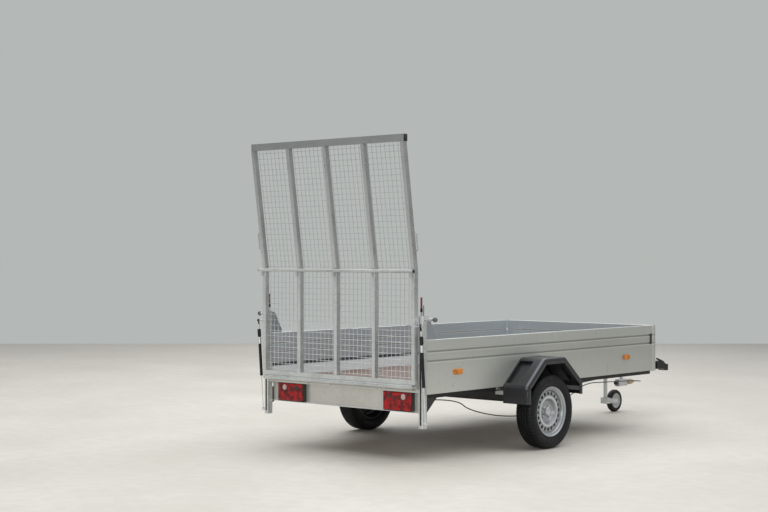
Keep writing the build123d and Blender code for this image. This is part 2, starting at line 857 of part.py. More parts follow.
export_step(jockey_fork.part, "parts/jockey_fork.step")

# half sections as (radius, distance from the wheel's middle)
jockey_tyre_section = ((66, -22), (84, -25), (94, -22), (100, -12), (100, 12), (94, 22), (84, 25), (66, 22))
jockey_rim_section = (
    (6.05, -26),
    (15, -26),
    (15, -12),
    (52, -8),
    (58, -19),
    (66, -22),
    (66, 22),
    (58, 19),
    (52, 8),
    (15, 12),
    (15, 26),
    (6.05, 26),
)
jockey_centre = (jockey_x, jockey_y + jockey_trail, jockey_radius)
jockey_turned = Plane(origin=jockey_centre, x_dir=(1, 0, 0), z_dir=(0, -1, 0))
with BuildPart() as jockey_tyre:
    with BuildSketch(jockey_turned):
        with BuildLine():
            ring(jockey_tyre_section)
        make_face()
    revolve(axis=Axis(jockey_centre, (1, 0, 0)))
jockey_tyre.part.label = "jockey_tyre"
export_step(jockey_tyre.part, "parts/jockey_tyre.step")

with BuildPart() as jockey_rim:
    with BuildSketch(jockey_turned):
        with BuildLine():
            ring(jockey_rim_section)
        make_face()
    revolve(axis=Axis(jockey_centre, (1, 0, 0)))
jockey_rim.part.label = "jockey_rim"
export_step(jockey_rim.part, "parts/jockey_rim.step")

# ---------------------------------------------------------------- parked plug and its cable
plug_x = 142
plug_z = 301
holder_back = rear_y + 3397
holder_front = rear_y + 3535
holder_width = 44
holder_bottom = 271
holder_top = 331
holder_wall = 3
plug_radius = 17
plug_grip = 21
plug_front = rear_y + 3672
with BuildPart() as plug_holder:
    # cup open to the front
    with BuildSketch(Plane.XZ.offset(-holder_back)):
        with Locations((plug_x, (holder_bottom + holder_top) / 2)):
            RectangleRounded(holder_width, holder_top - holder_bottom, 10)
    extrude(amount=-(holder_front - holder_back))
    with BuildSketch(Plane.XZ.offset(-holder_back - holder_wall)):
        with Locations((plug_x, plug_z)):
            Circle(plug_radius)
    extrude(amount=-(holder_front - holder_back - holder_wall), mode=Mode.SUBTRACT)
    # hanger up to the beam
    with BuildSketch(Plane.YZ.offset(plug_x - holder_wall)):
        with Locations(((holder_back + holder_front) / 2, (holder_top + beam_z - beam_height / 2) / 2)):
            Rectangle(40, beam_z - beam_height / 2 - holder_top)
    extrude(amount=2 * holder_wall)
plug_holder.part.label = "plug_holder"
export_step(plug_holder.part, "parts/plug_holder.step")

with BuildPart() as plug:
    with BuildSketch(Plane.XZ.offset(-(holder_front - 40))):
        with Locations((plug_x, plug_z)):
            Circle(plug_radius)
    extrude(amount=-40)
    with BuildSketch(Plane.XZ.offset(-holder_front)):
        with Locations((plug_x, plug_z)):
            Circle(plug_grip)
    extrude(amount=-(plug_front - 40 - holder_front))
    with BuildSketch(Plane.XZ.offset(-(plug_front - 40))):
        with Locations((plug_x, plug_z)):
            Circle(plug_grip)
    extrude(amount=-40, taper=16)
plug.part.label = "plug"
export_step(plug.part, "parts/plug.step")

cable_radius = 4
cable_route = (  # X, ahead of the deck's rear edge, Z, bend radius there
    (532, 45, 404, 0),
    (532, 330, 404, 120),
    (560, 640, 372, 60),
    (570, 740, 300, 120),
    (570, 1100, 222, 300),
    (566, 1500, 196, 400),
    (430, 2200, 262, 500),
    (215, 2778, 344, 400),
    (206, 3140, 329, 200),
    (208, 3560, 316, 100),
    (208, 3708, 301, 32),
    (142, 3708, 301, 32),
    (142, 3672, 301, 0),
)
with BuildPart() as cable:
    with BuildLine() as cable_path:
        FilletPolyline(
            *[(x, rear_y + ahead, z) for x, ahead, z, bend in cable_route],
            radius=[bend for x, ahead, z, bend in cable_route[1:-1]],
        )
    with BuildSketch(Plane(cable_path.line @ 0, z_dir=cable_path.line % 0)):
        Circle(cable_radius)
    sweep(path=cable_path.line)
cable.part.label = "cable"
export_step(cable.part, "parts/cable.step")

# ---------------------------------------------------------------- loading ramp
# stands upright behind the box: a lower section and, above a crease, a leaning upper one
ramp_front = hinge_y + ramp_bar_depth / 2  # front face of the bars
ramp_wall = 2
bar_places = (-728, -365, 0, 365, 728)
bottom_rail = 30
bottom_rail_low = 540
bottom_rail_top = bottom_rail_low + bottom_rail
crease_radius = 11.5
crease_half = 755
crease_drop = 3  # centre of the crease tube below the crease
crease_back = 44  # and behind the hinge line
saddle_half = 10
saddle_drop = 46
top_rail_depth = 36
top_rail_ahead = 24  # centre of the top rail ahead of the bars' rear faces
lean = Vector(0, -upper_run, upper_rise).normalized()
face_out = Vector(0, lean.Z, -lean.Y)  # forwards from the upper section's face
top_centre = (rear_y - rear_overhang + top_rail_ahead, ramp_top_z - top_rail_height / 2)
bar_edge = bar_places[-1] + ramp_bar_width / 2
ramp_rear = hinge_y - ramp_bar_depth / 2
crease_centre = (hinge_y - crease_back, ramp_crease_z - crease_drop)
saddle_middle = (ramp_rear + crease_centre[0]) / 2

with BuildPart() as ramp_base:
    with BuildSketch(Plane.YZ.offset(-hinge_tube_half)):
        with Locations((hinge_y, hinge_z)):
            Circle(hinge_tube_radius)
            Circle(hinge_tube_radius - 4, mode=Mode.SUBTRACT)
    extrude(amount=2 * hinge_tube_half)
    # bushes for the hinge pins
    for sign in (-1, 1):
        bush_low, bush_high = mirrored(sign, hinge_tube_half - 40, hinge_tube_half)
        with BuildSketch(Plane.YZ.offset(bush_low)):
            with Locations((hinge_y, hinge_z)):
                Circle(hinge_tube_radius - 2)
                Circle(hinge_pin_radius + pin_fit, mode=Mode.SUBTRACT)
        extrude(amount=bush_high - bush_low)
    with BuildSketch(Plane.YZ.offset(-bar_edge)):
        with Locations((hinge_y, bottom_rail_low + bottom_rail / 2)):
            Rectangle(bottom_rail, bottom_rail)
            Rectangle(bottom_rail - 2 * ramp_wall, bottom_rail - 2 * ramp_wall, mode=Mode.SUBTRACT)
    extrude(amount=2 * bar_edge)
ramp_base.part.label = "ramp_base"
export_step(ramp_base.part, "parts/ramp_base.step")

with BuildPart() as ramp_tubes:
    with BuildSketch(Plane.YZ.offset(-bar_edge)):
        with Locations(top_centre):
            Rectangle(top_rail_depth, top_rail_height)
            Rectangle(top_rail_depth - 2 * ramp_wall, top_rail_height - 2 * ramp_wall, mode=Mode.SUBTRACT)
    extrude(amount=2 * bar_edge)
    with BuildSketch(Plane.YZ.offset(-crease_half)):
        with Locations(crease_centre):
            Circle(crease_radius)
            Circle(crease_radius - ramp_wall, mode=Mode.SUBTRACT)
    extrude(amount=2 * crease_half)
    # saddles that hold the crease tube behind the bars
    for place in bar_places:
        with BuildSketch(Plane.YZ.offset(place - saddle_half)):
            with Locations((saddle_middle, ramp_crease_z - saddle_drop / 2)):
                Rectangle(2 * (ramp_rear - saddle_middle), saddle_drop)
            with Locations(crease_centre):
                Circle(crease_radius - ramp_wall, mode=Mode.SUBTRACT)
        extrude(amount=2 * saddle_half)
ramp_tubes.part.label = "ramp_tubes"
export_step(ramp_tubes.part, "parts/ramp_tubes.step")

# gas strut ends: on the ramp's outer bars and on the pillars
strut_x = 795
strut_top = (hinge_y - 12, 940)
strut_foot = (rear_y - 12, 275)
stud_radius = 5
eye_half = 6

with BuildPart() as ramp_lower_bars:
    with BuildSketch(Plane.XY.offset(bottom_rail_top)):
        with Locations(*[(place, hinge_y) for place in bar_places]):
            Rectangle(ramp_bar_width, ramp_bar_depth)
            Rectangle(ramp_bar_width - 2 * ramp_wall, ramp_bar_depth - 2 * ramp_wall, mode=Mode.SUBTRACT)
    extrude(amount=ramp_crease_z - bottom_rail_top)
    for sign in (-1, 1):
        stud_low, stud_high = mirrored(sign, bar_edge, strut_x + eye_half + 2)
        with BuildSketch(Plane.YZ.offset(stud_low)):
            with Locations(strut_top):
                Circle(stud_radius)
        extrude(amount=stud_high - stud_low)
ramp_lower_bars.part.label = "ramp_lower_bars"
export_step(ramp_lower_bars.part, "parts/ramp_lower_bars.step")

handle_low = 136
handle_high = 271  # along the upper section from the crease
handle_reach = 30
handle_rod = 5
with BuildPart() as ramp_upper_bars:
    with BuildSketch(Plane.XY.offset(ramp_crease_z)):
        with Locations(*[(place, hinge_y) for place in bar_places]):
            Rectangle(ramp_bar_width, ramp_bar_depth)
            Rectangle(ramp_bar_width - 2 * ramp_wall, ramp_bar_depth - 2 * ramp_wall, mode=Mode.SUBTRACT)
    extrude(amount=upper_rise / lean.Z, dir=lean)
ramp_upper_bars.part.label = "ramp_upper_bars"
export_step(ramp_upper_bars.part, "parts/ramp_upper_bars.step")

# D-shaped grab handles on the outer bars
with BuildPart() as ramp_handles:
    for sign in (-1, 1):
        lean_plane = Plane(origin=(0, hinge_y, ramp_crease_z), x_dir=(1, 0, 0), z_dir=-face_out)
        with BuildLine(lean_plane) as handle_path:
            FilletPolyline(
                (sign * bar_edge, handle_low),
                (sign * (bar_edge + handle_reach), handle_low),
                (sign * (bar_edge + handle_reach), handle_high),
                (sign * bar_edge, handle_high),
                radius=14,
            )
        with BuildSketch(Plane(handle_path.line @ 0, z_dir=handle_path.line % 0)):
            Circle(handle_rod)
        sweep(path=handle_path.line)
ramp_handles.part.label = "ramp_handles"
export_step(ramp_handles.part, "parts/ramp_handles.step")

# ---------------------------------------------------------------- ramp mesh
# welded wires: cross wires lie on the bars' front face, long wires lie on the cross wires
wire_radius = 1.5  # from a wire's middle to its flats
wire_sides = 6
wire_pitch = 40
mesh_half = 740
mesh_low = bottom_rail_top + 6
mesh_gap = 4  # from the crease to each section's mesh
mesh_long_places = [-mesh_half + wire_pitch * i for i in range(int(2 * mesh_half / wire_pitch) + 1)]
upper_length = upper_rise / lean.Z - mesh_gap
lower_base = Vector(0, ramp_front, mesh_low)
upper_base = Vector(0, ramp_front, ramp_crease_z) + lean * mesh_gap
mesh_sections = (  # name, lowest point of the face, way up, way out, length
    ("lower", lower_base, Vector(0, 0, 1), Vector(0, 1, 0), ramp_crease_z - mesh_gap - mesh_low),
    ("upper", upper_base, lean, face_out, upper_length - mesh_gap),
)

for section, base, up, out, length in mesh_sections:
    cross_count = int((length - 2 * wire_radius) / wire_pitch) + 1
    cross_start = (length - wire_pitch * (cross_count - 1)) / 2
    with BuildPart() as mesh_cross:
        for i in range(cross_count):
            spot = base + up * (cross_start + wire_pitch * i) + out * wire_radius
            with BuildSketch(Plane(origin=(-mesh_half - 2, spot.Y, spot.Z), x_dir=up, z_dir=(1, 0, 0))):
                RegularPolygon(wire_radius, wire_sides, major_radius=False)
            extrude(amount=2 * mesh_half + 4)
    mesh_cross.part.label = f"mesh_{section}_cross"
    export_step(mesh_cross.part, f"parts/mesh_{section}_cross.step")

    with BuildPart() as mesh_long:
        start = base + out * 3 * wire_radius
        with BuildSketch(Plane(origin=start, x_dir=(1, 0, 0), z_dir=up)):
            with Locations(*[(place, 0) for place in mesh_long_places]):
                RegularPolygon(wire_radius, wire_sides, major_radius=False)
        extrude(amount=length)
    mesh_long.part.label = f"mesh_{section}_long"
    export_step(mesh_long.part, f"parts/mesh_{section}_long.step")

# ---------------------------------------------------------------- gas struts
tube_radius = 11
tube_bore = 9
neck_radius = 5
tube_start = 69
tube_end = 417
gland = 12
chamber_start = 90
rod_radius = 4
rod_inside = 60
eye_radius = 10
strut_run = Vector(0, strut_foot[0] - strut_top[0], strut_foot[1] - strut_top[1])
strut_length = strut_run.length
down = strut_run.normalized()
pillar_gap = 1

for side, sign in SIDES:
    top = Vector(sign * strut_x, *strut_top)
    foot = Vector(sign * strut_x, *strut_foot)
    with BuildPart() as strut_cylinder:
        with BuildSketch(Plane.YZ.offset(sign * strut_x - eye_half)):
            with Locations(strut_top):
                Circle(eye_radius)
        extrude(amount=2 * eye_half)
        with BuildSketch(Plane(origin=top, x_dir=(1, 0, 0), z_dir=down)):
            Circle(neck_radius)
        extrude(amount=tube_start + 2)
        with BuildSketch(Plane(origin=top + down * tube_start, x_dir=(1, 0, 0), z_dir=down)):
            Circle(tube_radius)
        extrude(amount=tube_end - tube_start)
        with BuildSketch(Plane(origin=top + down * chamber_start, x_dir=(1, 0, 0), z_dir=down)):
            Circle(tube_bore)
        extrude(amount=tube_end - gland - chamber_start, mode=Mode.SUBTRACT)
        with BuildSketch(Plane(origin=top + down * (tube_end - gland), x_dir=(1, 0, 0), z_dir=down)):
            Circle(rod_radius + pin_fit)
        extrude(amount=gland, mode=Mode.SUBTRACT)
        with BuildSketch(Plane.YZ.offset(sign * strut_x - eye_half)):
            with Locations(strut_top):
                Circle(stud_radius + pin_fit)
        extrude(amount=2 * eye_half, mode=Mode.SUBTRACT)
    strut_cylinder.part.label = f"strut_cylinder_{side}"
    export_step(strut_cylinder.part, f"parts/strut_cylinder_{side}.step")

    with BuildPart() as strut_rod:
        rod_start = tube_end - rod_inside
        with BuildSketch(Plane(origin=top + down * rod_start, x_dir=(1, 0, 0), z_dir=down)):
            Circle(rod_radius)
        extrude(amount=strut_length - rod_start)
        with BuildSketch(Plane.YZ.offset(sign * strut_x - eye_half)):
            with Locations(strut_foot):
                Circle(eye_radius)
        extrude(amount=2 * eye_half)
        stud_low, stud_high = mirrored(sign, pillar_outer + pillar_gap, strut_x)
        with BuildSketch(Plane.YZ.offset(stud_low)):
            with Locations(strut_foot):
                Circle(stud_radius)
        extrude(amount=stud_high - stud_low)
    strut_rod.part.label = f"strut_rod_{side}"
    export_step(strut_rod.part, f"parts/strut_rod_{side}.step")
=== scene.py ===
"""Looks for the box trailer: finishes for its solids, and the fittings too small for them."""

import json
import math

import bmesh
import bpy
from mathutils import Matrix, Vector


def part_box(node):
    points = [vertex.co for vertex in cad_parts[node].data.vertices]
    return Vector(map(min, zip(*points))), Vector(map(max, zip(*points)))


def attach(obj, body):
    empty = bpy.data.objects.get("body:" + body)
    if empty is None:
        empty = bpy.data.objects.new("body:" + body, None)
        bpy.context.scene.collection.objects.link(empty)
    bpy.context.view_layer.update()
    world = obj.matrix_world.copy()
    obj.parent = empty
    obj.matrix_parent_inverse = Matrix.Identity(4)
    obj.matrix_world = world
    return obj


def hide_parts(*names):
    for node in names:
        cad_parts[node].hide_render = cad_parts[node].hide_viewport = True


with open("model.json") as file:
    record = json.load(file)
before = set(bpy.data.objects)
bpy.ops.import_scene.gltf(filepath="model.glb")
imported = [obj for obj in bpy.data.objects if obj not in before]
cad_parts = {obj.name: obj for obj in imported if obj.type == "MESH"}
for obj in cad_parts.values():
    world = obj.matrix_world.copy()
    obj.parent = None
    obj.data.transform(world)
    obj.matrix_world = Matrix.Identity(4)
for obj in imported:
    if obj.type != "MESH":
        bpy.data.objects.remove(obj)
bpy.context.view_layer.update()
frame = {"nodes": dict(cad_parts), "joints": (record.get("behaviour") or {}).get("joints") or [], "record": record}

SIDES = (("left", -1), ("right", 1))  # name, sign of X


# ------------------------ places read from the frame
joints = {joint["name"]: joint for joint in frame["joints"]}
wheel_middle = {side: Vector(joints[f"wheel_{side}_spin"]["pos_m"]) for side, sign in SIDES}
axle = wheel_middle["left"]
jockey_middle = Vector(joints["jockey_spin"]["pos_m"])
rear_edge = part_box("deck")[0].y
hinge_y = joints["ramp_hinge"]["pos_m"][1]
panel_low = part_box("lamp_board")[0].z

# ------------------------ where a finish changes on a solid
# the ramp: its wire mesh is told apart by Y with the upper part's lean taken out
ramp_crease_z = 1.320
ramp_lean = math.radians(7.8)
mesh_rear = hinge_y + 0.0176
mesh_front = hinge_y + 0.0275
base_top = 0.572
bars_x = (-0.728, -0.365, 0, 0.365, 0.728)
bar_half = 0.0150
rail_bottom = 2.1965
# the box: halves are distances from the middle plane, the rest heights unless rear or front is said
panel_top = 0.5175
panel_half = 0.7381
pillar_half = 0.7385
pillar_front = rear_edge + 0.0305
wall_bottom = 0.4404
wall_top = 0.846
wall_rim = 0.8425
inside_half = 0.7472
inside_front = 0.8300
board_grooves = (0.765, 0.699)
# on the inside walls, heights of a painted shadow line and of the top of a painted reflection band
painted_shadow_line = 0.607
low_reflection_top = 0.597
deck_film = 0.5145
# the wheels: radii from the axle, and halves as above
tyre_rings = (0.1995, 0.234)
tyre_wall_half = 0.79
# painted shade: the rim's inner side is painted near black
disc_half = (0.70, 0.868)  # the rim's inner side, seen through the arch
nut_spot = Vector((0, 0.0354, 0.0354))
knob_half = 0.83


# ------------------------ shading
def add_node(tree, kind, settings, values):
    """A new node, its settings first and then its sockets' values or links."""
    made = tree.nodes.new(kind)
    for name, setting in (settings or {}).items():
        setattr(made, name, setting)
    for key, value in (values or {}).items():
        if isinstance(value, bpy.types.NodeSocket):
            tree.links.new(value, made.inputs[key])
        else:
            made.inputs[key].default_value = value
    return made


class Shade:
    """One socket of a material's nodes. Arithmetic on it adds Math nodes."""

    def __init__(self, tree, socket=None):
        self.tree = tree
        self.socket = socket

    def node(self, kind, settings=None, values=None, out=0):
        """Adds a node and returns one of its outputs."""
        sockets = {key: getattr(value, "socket", value) for key, value in (values or {}).items()}
        made = add_node(self.tree, kind, settings, sockets)
        return Shade(self.tree, made.outputs[out] if made.outputs else None)

    def maths(self, operation, first, second):
        return self.node("ShaderNodeMath", {"operation": operation}, {0: first, 1: second})

    def __add__(self, other):
        return self.maths("ADD", self, other)

    __radd__ = __add__

    def __sub__(self, other):
        return self.maths("SUBTRACT", self, other)

    def __rsub__(self, other):
        return self.maths("SUBTRACT", other, self)

    def __mul__(self, other):
        return self.maths("MULTIPLY", self, other)

    __rmul__ = __mul__

    def __pow__(self, other):
        return self.maths("POWER", self, other)

    def __lt__(self, other):
        return self.maths("LESS_THAN", self, other)

    def __gt__(self, other):
        return self.maths("GREATER_THAN", self, other)

    def __abs__(self):
        return self.maths("ABSOLUTE", self, 0)


def paint(red, green, blue):
    """A colour as written on a screen, 0 to 255, as the shader wants it."""
    linear = [((c / 255 + 0.055) / 1.055) ** 2.4 if c > 10 else c / 255 / 12.92 for c in (red, green, blue)]
    return (*linear, 1)


def stretched(place, *scale):
    return place.node("ShaderNodeMapping", values={"Vector": place, "Scale": scale})


def noise(place, scale, detail=3, roughness=0.55):
    values = {"Vector": place, "Scale": scale, "Detail": detail, "Roughness": roughness}
    return place.node("ShaderNodeTexNoise", values=values)


def cells(place, scale, out="Distance"):
    return place.node("ShaderNodeTexVoronoi", values={"Vector": place, "Scale": scale}, out=out)


def fitted(value, low, high, new_low=0.0, new_high=1.0):
    """The value's range from low to high mapped to the new one, and held inside it."""
    values = {"Value": value, "From Min": low, "From Max": high, "To Min": new_low, "To Max": new_high}
    return value.node("ShaderNodeMapRange", {"clamp": True}, values)


def band(value, middle, outer, inner):
    """1 within inner of the middle, falling to 0 at outer."""
    return fitted(abs(value - middle), outer, inner)


def within(value, low, high):
    """1 between two limits and 0 outside them."""
    return (value > low) * (value < high)


def ribbed(value, rate):
    """From 0 to 0.5 and back again, rate times in a metre."""
    return value.maths("PINGPONG", value * rate, 0.5)


def blended(mask, first, second):
    """The first colour where the mask is 0 and the second where it is 1."""
    return mask.node("ShaderNodeMix", {"data_type": "RGBA"}, {0: mask, 6: first, 7: second}, 2)


def bumped(height, depth, strength=1.0):
    return height.node("ShaderNodeBump", values={"Height": height, "Distance": depth, "Strength": strength})


def axes(place):
    """The place's X, Y and Z, each a value."""
    split = place.node("ShaderNodeSeparateXYZ", values={0: place})
    sockets = split.socket.node.outputs
    return [Shade(place.tree, socket) for socket in sockets]


def off_axle(y, z, middle):
    """Distance from a line along X through the middle."""
    return ((y - middle.y) ** 2 + (z - middle.z) ** 2) ** 0.5


def finish(name, recipe, fixed):
    """A material: recipe gives what changes over the surface, fixed the shader's own numbers."""
    material = bpy.data.materials.new(name)
    material.use_nodes = True
    tree = material.node_tree
    tree.nodes.clear()
    start = Shade(tree)
    place = start.node("ShaderNodeTexCoord", out="Object")
    shader = start.node("ShaderNodeBsdfPrincipled", values={**fixed, **recipe(place)})
    start.node("ShaderNodeOutputMaterial", values={"Surface": shader})
    return material


# ------------------------ finishes
def galvanised(light, dark):
    """Hot-dip zinc: crystals of slightly different grey, a few darker streaks. Drawn wire is the brightest;
    painted light and shade on the wire, the bars, the rail and the panel's lower edge stand in for the lighting.
    """

    def recipe(place):
        x, y, z = axes(place)
        spangle = cells(place, 70, "Color")
        grain = spangle.node("ShaderNodeSeparateColor", values={0: spangle})
        cloud = noise(place, 6)
        shade = grain * 0.45 + fitted(cloud, 0.35, 0.65) * 0.55
        speck = fitted(noise(place, 420, 2), 0.62, 0.72)
        colour = blended(shade, dark, light)
        colour = blended(speck * 0.15, colour, paint(92, 94, 94))
        # the ramp's upper part leans back over its crease; its mesh lies ahead of its bars
        upper = z - ramp_crease_z
        upright = y + upper.maths("MAXIMUM", upper, 0) * math.tan(ramp_lean)
        wire = within(upright, mesh_rear, mesh_front) * (z > base_top)
        # the wire is partly its own paler zinc and partly painted light: painted paler low down, darker high up
        wire_with_painted_light = blended(fitted(z, 0.97, 0.87), paint(163, 168, 168), paint(218, 222, 223))
        colour = blended(wire, colour, blended(shade * 0.2, wire_with_painted_light, paint(196, 200, 199)))
        # painted shade: the bars' sides are painted darker than their rear faces
        side = sum(abs(abs(x - bar_x) - bar_half) < 0.0012 for bar_x in bars_x)
        side = side * (upright < mesh_rear) * (z > base_top)
        colour = blended(side * 0.15, colour, paint(92, 96, 97))
        # folded sheet of the lamp panel, smoother and paler; a painted highlight along its lower edge
        sheet = (z < panel_top) * within(y, rear_edge - 0.004, rear_edge + 0.0455) * (abs(x) < panel_half)
        colour = blended(sheet, colour, blended(shade, paint(190, 189, 183), paint(206, 205, 199)))
        painted_lip_highlight = sheet * (z < panel_low + 0.007)
        colour = blended(painted_lip_highlight * 0.7, colour, paint(236, 237, 235))
        # painted shade: the rail and the upper bars are painted darker, more so higher up
        painted_upper_shade = fitted(z, 1.20, 1.60, 0, 0.5) * (1 - wire) + (z > rail_bottom) * 0.25
        colour = blended(painted_upper_shade, colour, paint(146, 149, 150))
        # braces: bluish above the wall; below it they and the axle's tube are coloured near black and not metallic
        above = (z > wall_top) * (y > pillar_front)
        colour = blended(above, colour, blended(cloud, paint(150, 156, 163), paint(172, 178, 184)))
        brace = within(y, pillar_front, rear_edge + 0.18) * (abs(x) > pillar_half)
        brace = brace + within(y, axle.y, axle.y + 0.25) * (abs(x) < pillar_half)
        brace = brace * (z < wall_bottom)
        return {
            "Base Color": blended(brace, colour, paint(34, 36, 38)),
            "Metallic": 0.8 - wire * 0.45 - sheet * 0.25 - brace * 0.8,
            "Roughness": grain * 0.12 * (1 - sheet) + sheet * 0.08 + fitted(cloud, 0.3, 0.7, 0.24, 0.36),
            "Normal": bumped(noise(place, 160, 2) * (1 - sheet), 0.0004, 0.3),
        }

    return recipe


def board(place):
    """Rolled aluminium: fine lines along the board and random marks. Painted light and shade stand in for the
    lighting: shade in the grooves, highlights under them and along the top rim, lighter at the top and low towards
    the rear, and inside the box a bluish reflection with a bright band and a shadow line low down.
    """
    x, y, z = axes(place)
    lines = noise(stretched(place, 1, 0.012, 1), 700, 2)
    cloud = noise(stretched(place, 1, 0.35, 1), 2.2)
    marks = fitted(noise(stretched(place, 1, 1, 0.4), 26, 5), 0.6, 0.75)
    colour = blended(fitted(cloud, 0.3, 0.7), paint(185, 187, 181), paint(198, 200, 195))
    colour = blended(lines * 0.35, colour, paint(150, 152, 148))
    # painted light: the band above the upper groove is painted lighter
    colour = blended((z > board_grooves[0]) * 0.4, colour, paint(206, 208, 205))
    # painted light: the outside is painted lighter low down and towards the rear
    painted_low_light = fitted(z, 0.78, 0.50, 0, 0.5) * fitted(y, 0.4, -0.9, 0.3, 1)
    colour = blended(painted_low_light, colour, paint(224, 226, 221))
    # painted reflection: inside the box the board is painted as a bluish copy
    inside = (abs(x) < inside_half) * (y < inside_front)
    bluish = blended(lines * 0.35, paint(190, 197, 202), paint(166, 173, 178))
    # painted reflection: a near-white band low on the inside walls
    painted_low_reflection = inside * fitted(z, low_reflection_top, low_reflection_top - 0.009)
    bluish = blended(painted_low_reflection, bluish, paint(228, 233, 236))
    # painted shadow: a dark line along a gap low on the inside walls
    bluish = blended(band(z, painted_shadow_line, 0.0120, 0.0085) * 0.92, bluish, paint(46, 52, 60))
    colour = blended(inside, colour, bluish)
    # painted shade in the grooves outside, a painted highlight under each, and painted highlights along them
    # inside
    groove = sum(band(z, height, 0.0100, 0.0035) for height in board_grooves)
    painted_groove_highlight = sum(band(z, height - 0.011, 0.0060, 0.0020) for height in board_grooves)
    colour = blended(groove * 0.36 * (1 - inside), colour, paint(84, 85, 82))
    colour = blended(painted_groove_highlight * 0.4 * (1 - inside), colour, paint(230, 232, 228))
    colour = blended(groove * inside, colour, paint(250, 252, 255))
    # painted highlight along the wall's top rim
    colour = blended(fitted(z, wall_rim, wall_rim + 0.002) * 0.7, colour, paint(226, 228, 228))
    return {
        "Base Color": blended(marks * 0.25, colour, paint(140, 141, 136)),
        "Metallic": 0.7 - painted_low_reflection * 0.6,
        "Roughness": lines * 0.1 + fitted(cloud, 0.3, 0.7, 0.3, 0.4) + marks * 0.12,
        "Normal": bumped(lines, 0.0003, 0.35),
    }


def dark_coat(place):
    """Dark chassis coating, dusty in patches and a little orange-peeled."""
    dust = fitted(noise(place, 9, 5), 0.45, 0.75)
    colour = blended(dust, paint(24, 25, 27), paint(46, 46, 45))
    return {
        "Base Color": colour,
        "Roughness": fitted(dust, 0, 1, 0.42, 0.7),
        "Normal": bumped(noise(place, 340, 2), 0.0003, 0.3),
    }


def film_faced_board(place):
    """Brown film-faced board: an even stamped mesh in the film, scuffed along the way in."""
    height = axes(place)[2]
    stamped = cells(stretched(place, 1, 1, 0), 260)
    scuffs = fitted(noise(stretched(place, 1, 0.12, 1), 38, 5), 0.55, 0.72)
    cloud = fitted(noise(place, 3), 0.3, 0.7)
    colour = blended(cloud, paint(108, 88, 80), paint(127, 107, 98))
    edge = fitted(noise(stretched(place, 0.05, 0.05, 12), 60), 0.4, 0.6)
    side = blended(edge, paint(150, 118, 82), paint(112, 82, 54))
    top = blended(scuffs * 0.5, colour, paint(160, 148, 140))
    return {
        "Base Color": blended(height > deck_film, side, top),
        "Roughness": fitted(stamped, 0, 0.6, 0.42, 0.62),
        "Normal": bumped(stamped, 0.0006, 0.5),
    }


def tyre_rubber(place):
    """Dark rubber; fine moulded rings on the road tyres' sides."""
    x, y, z = axes(place)
    dust = fitted(noise(place, 14, 5), 0.4, 0.75)
    out = off_axle(y, z, axle)
    ring = ribbed(out, 250) * within(out, *tyre_rings) * (abs(x) > tyre_wall_half)
    colour = blended(dust, paint(10, 11, 14), paint(23, 24, 27))
    return {
        "Base Color": blended(ring, colour, paint(32, 33, 37)),
        "Roughness": fitted(dust, 0, 1, 0.5, 0.75),
        "Normal": bumped(noise(place, 600, 3) + ring * 2, 0.0004, 0.5),
    }


def wheel_paint(place):
    """Silver wheel paint; painted shade in the well's corners, round the raised ring's foot, at the flange's step
    and round the nuts, and a painted highlight on the raised ring.
    """
    x, y, z = axes(place)
    cloud = fitted(noise(place, 10, 4), 0.35, 0.65)
    grime = fitted(noise(place, 46, 5), 0.6, 0.78)
    out = off_axle(y, z, axle)
    # painted shade in the well's corners, round the raised ring's foot and at the flange's step; a painted
    # highlight on the raised ring
    corner = band(out, 0.1525, 0.0050, 0.0025) + band(out, 0.1215, 0.0050, 0.0020) * 0.5
    ring = band(out, 0.1065, 0.0085, 0.0045)
    slope = band(out, 0.0865, 0.0080, 0.0050)
    step = band(out, 0.1665, 0.0028, 0.0012)
    nut = off_axle(abs(y - axle.y), abs(z - axle.z), nut_spot)
    colour = blended(cloud, paint(158, 162, 166), paint(178, 181, 184))
    # painted highlight on the raised ring; painted shade on the slope at its foot, at the step and round the nuts
    colour = blended(ring * 0.8, colour, paint(222, 225, 228))
    colour = blended(slope * 0.55, colour, paint(104, 108, 112))
    colour = blended(step * 0.7, colour, paint(84, 87, 90))
    colour = blended(fitted(nut, 0.0155, 0.0135) * 0.85, colour, paint(52, 54, 57))
    jockey_ring = band(off_axle(y, z, jockey_middle), 0.030, 0.0090, 0.0050)
    colour = blended(jockey_ring * 0.6, colour, paint(74, 76, 79))
    # painted shade in the well's corners
    colour = blended(corner * 0.7, colour, paint(84, 87, 90))
    # painted shade: the rim's inner side, seen through the arch, is painted near black
    colour = blended(within(abs(x), *disc_half), colour, paint(40, 41, 43))
    return {
        "Base Color": blended(grime * 0.3, colour, paint(104, 103, 100)),
        "Roughness": fitted(grime, 0, 1, 0.38, 0.55),
        "Normal": bumped(noise(place, 900, 2), 0.0002, 0.25),
    }


def zinc_plate(place):
    cloud = fitted(noise(place, 30, 4), 0.35, 0.65)
    return {
        "Base Color": blended(cloud, paint(186, 189, 191), paint(212, 214, 215)),
        "Roughness": fitted(cloud, 0, 1, 0.24, 0.36),
        "Normal": bumped(noise(place, 500, 2), 0.0002, 0.25),
    }


def moulded(base, worn):
    """Moulded plastic with a fine leather-like grain and a slight bloom."""

    def recipe(place):
        x, y, z = axes(place)
        bloom = fitted(noise(place, 7, 4), 0.38, 0.7)
        pebbles = cells(place, 520)
        # painted highlight: the mudguards' rear outer edge is painted pale
        edge = band(abs(x), 0.978, 0.0110, 0.0050) * within(y, axle.y - 0.37, axle.y - 0.10) * (z > 0.46)
        return {
            "Base Color": blended(edge * 0.6, blended(bloom, base, worn), paint(112, 115, 124)),
            "Roughness": fitted(bloom, 0, 1, 0.4, 0.55),
            "Normal": bumped(pebbles, 0.0004, 0.35),
        }

    return recipe


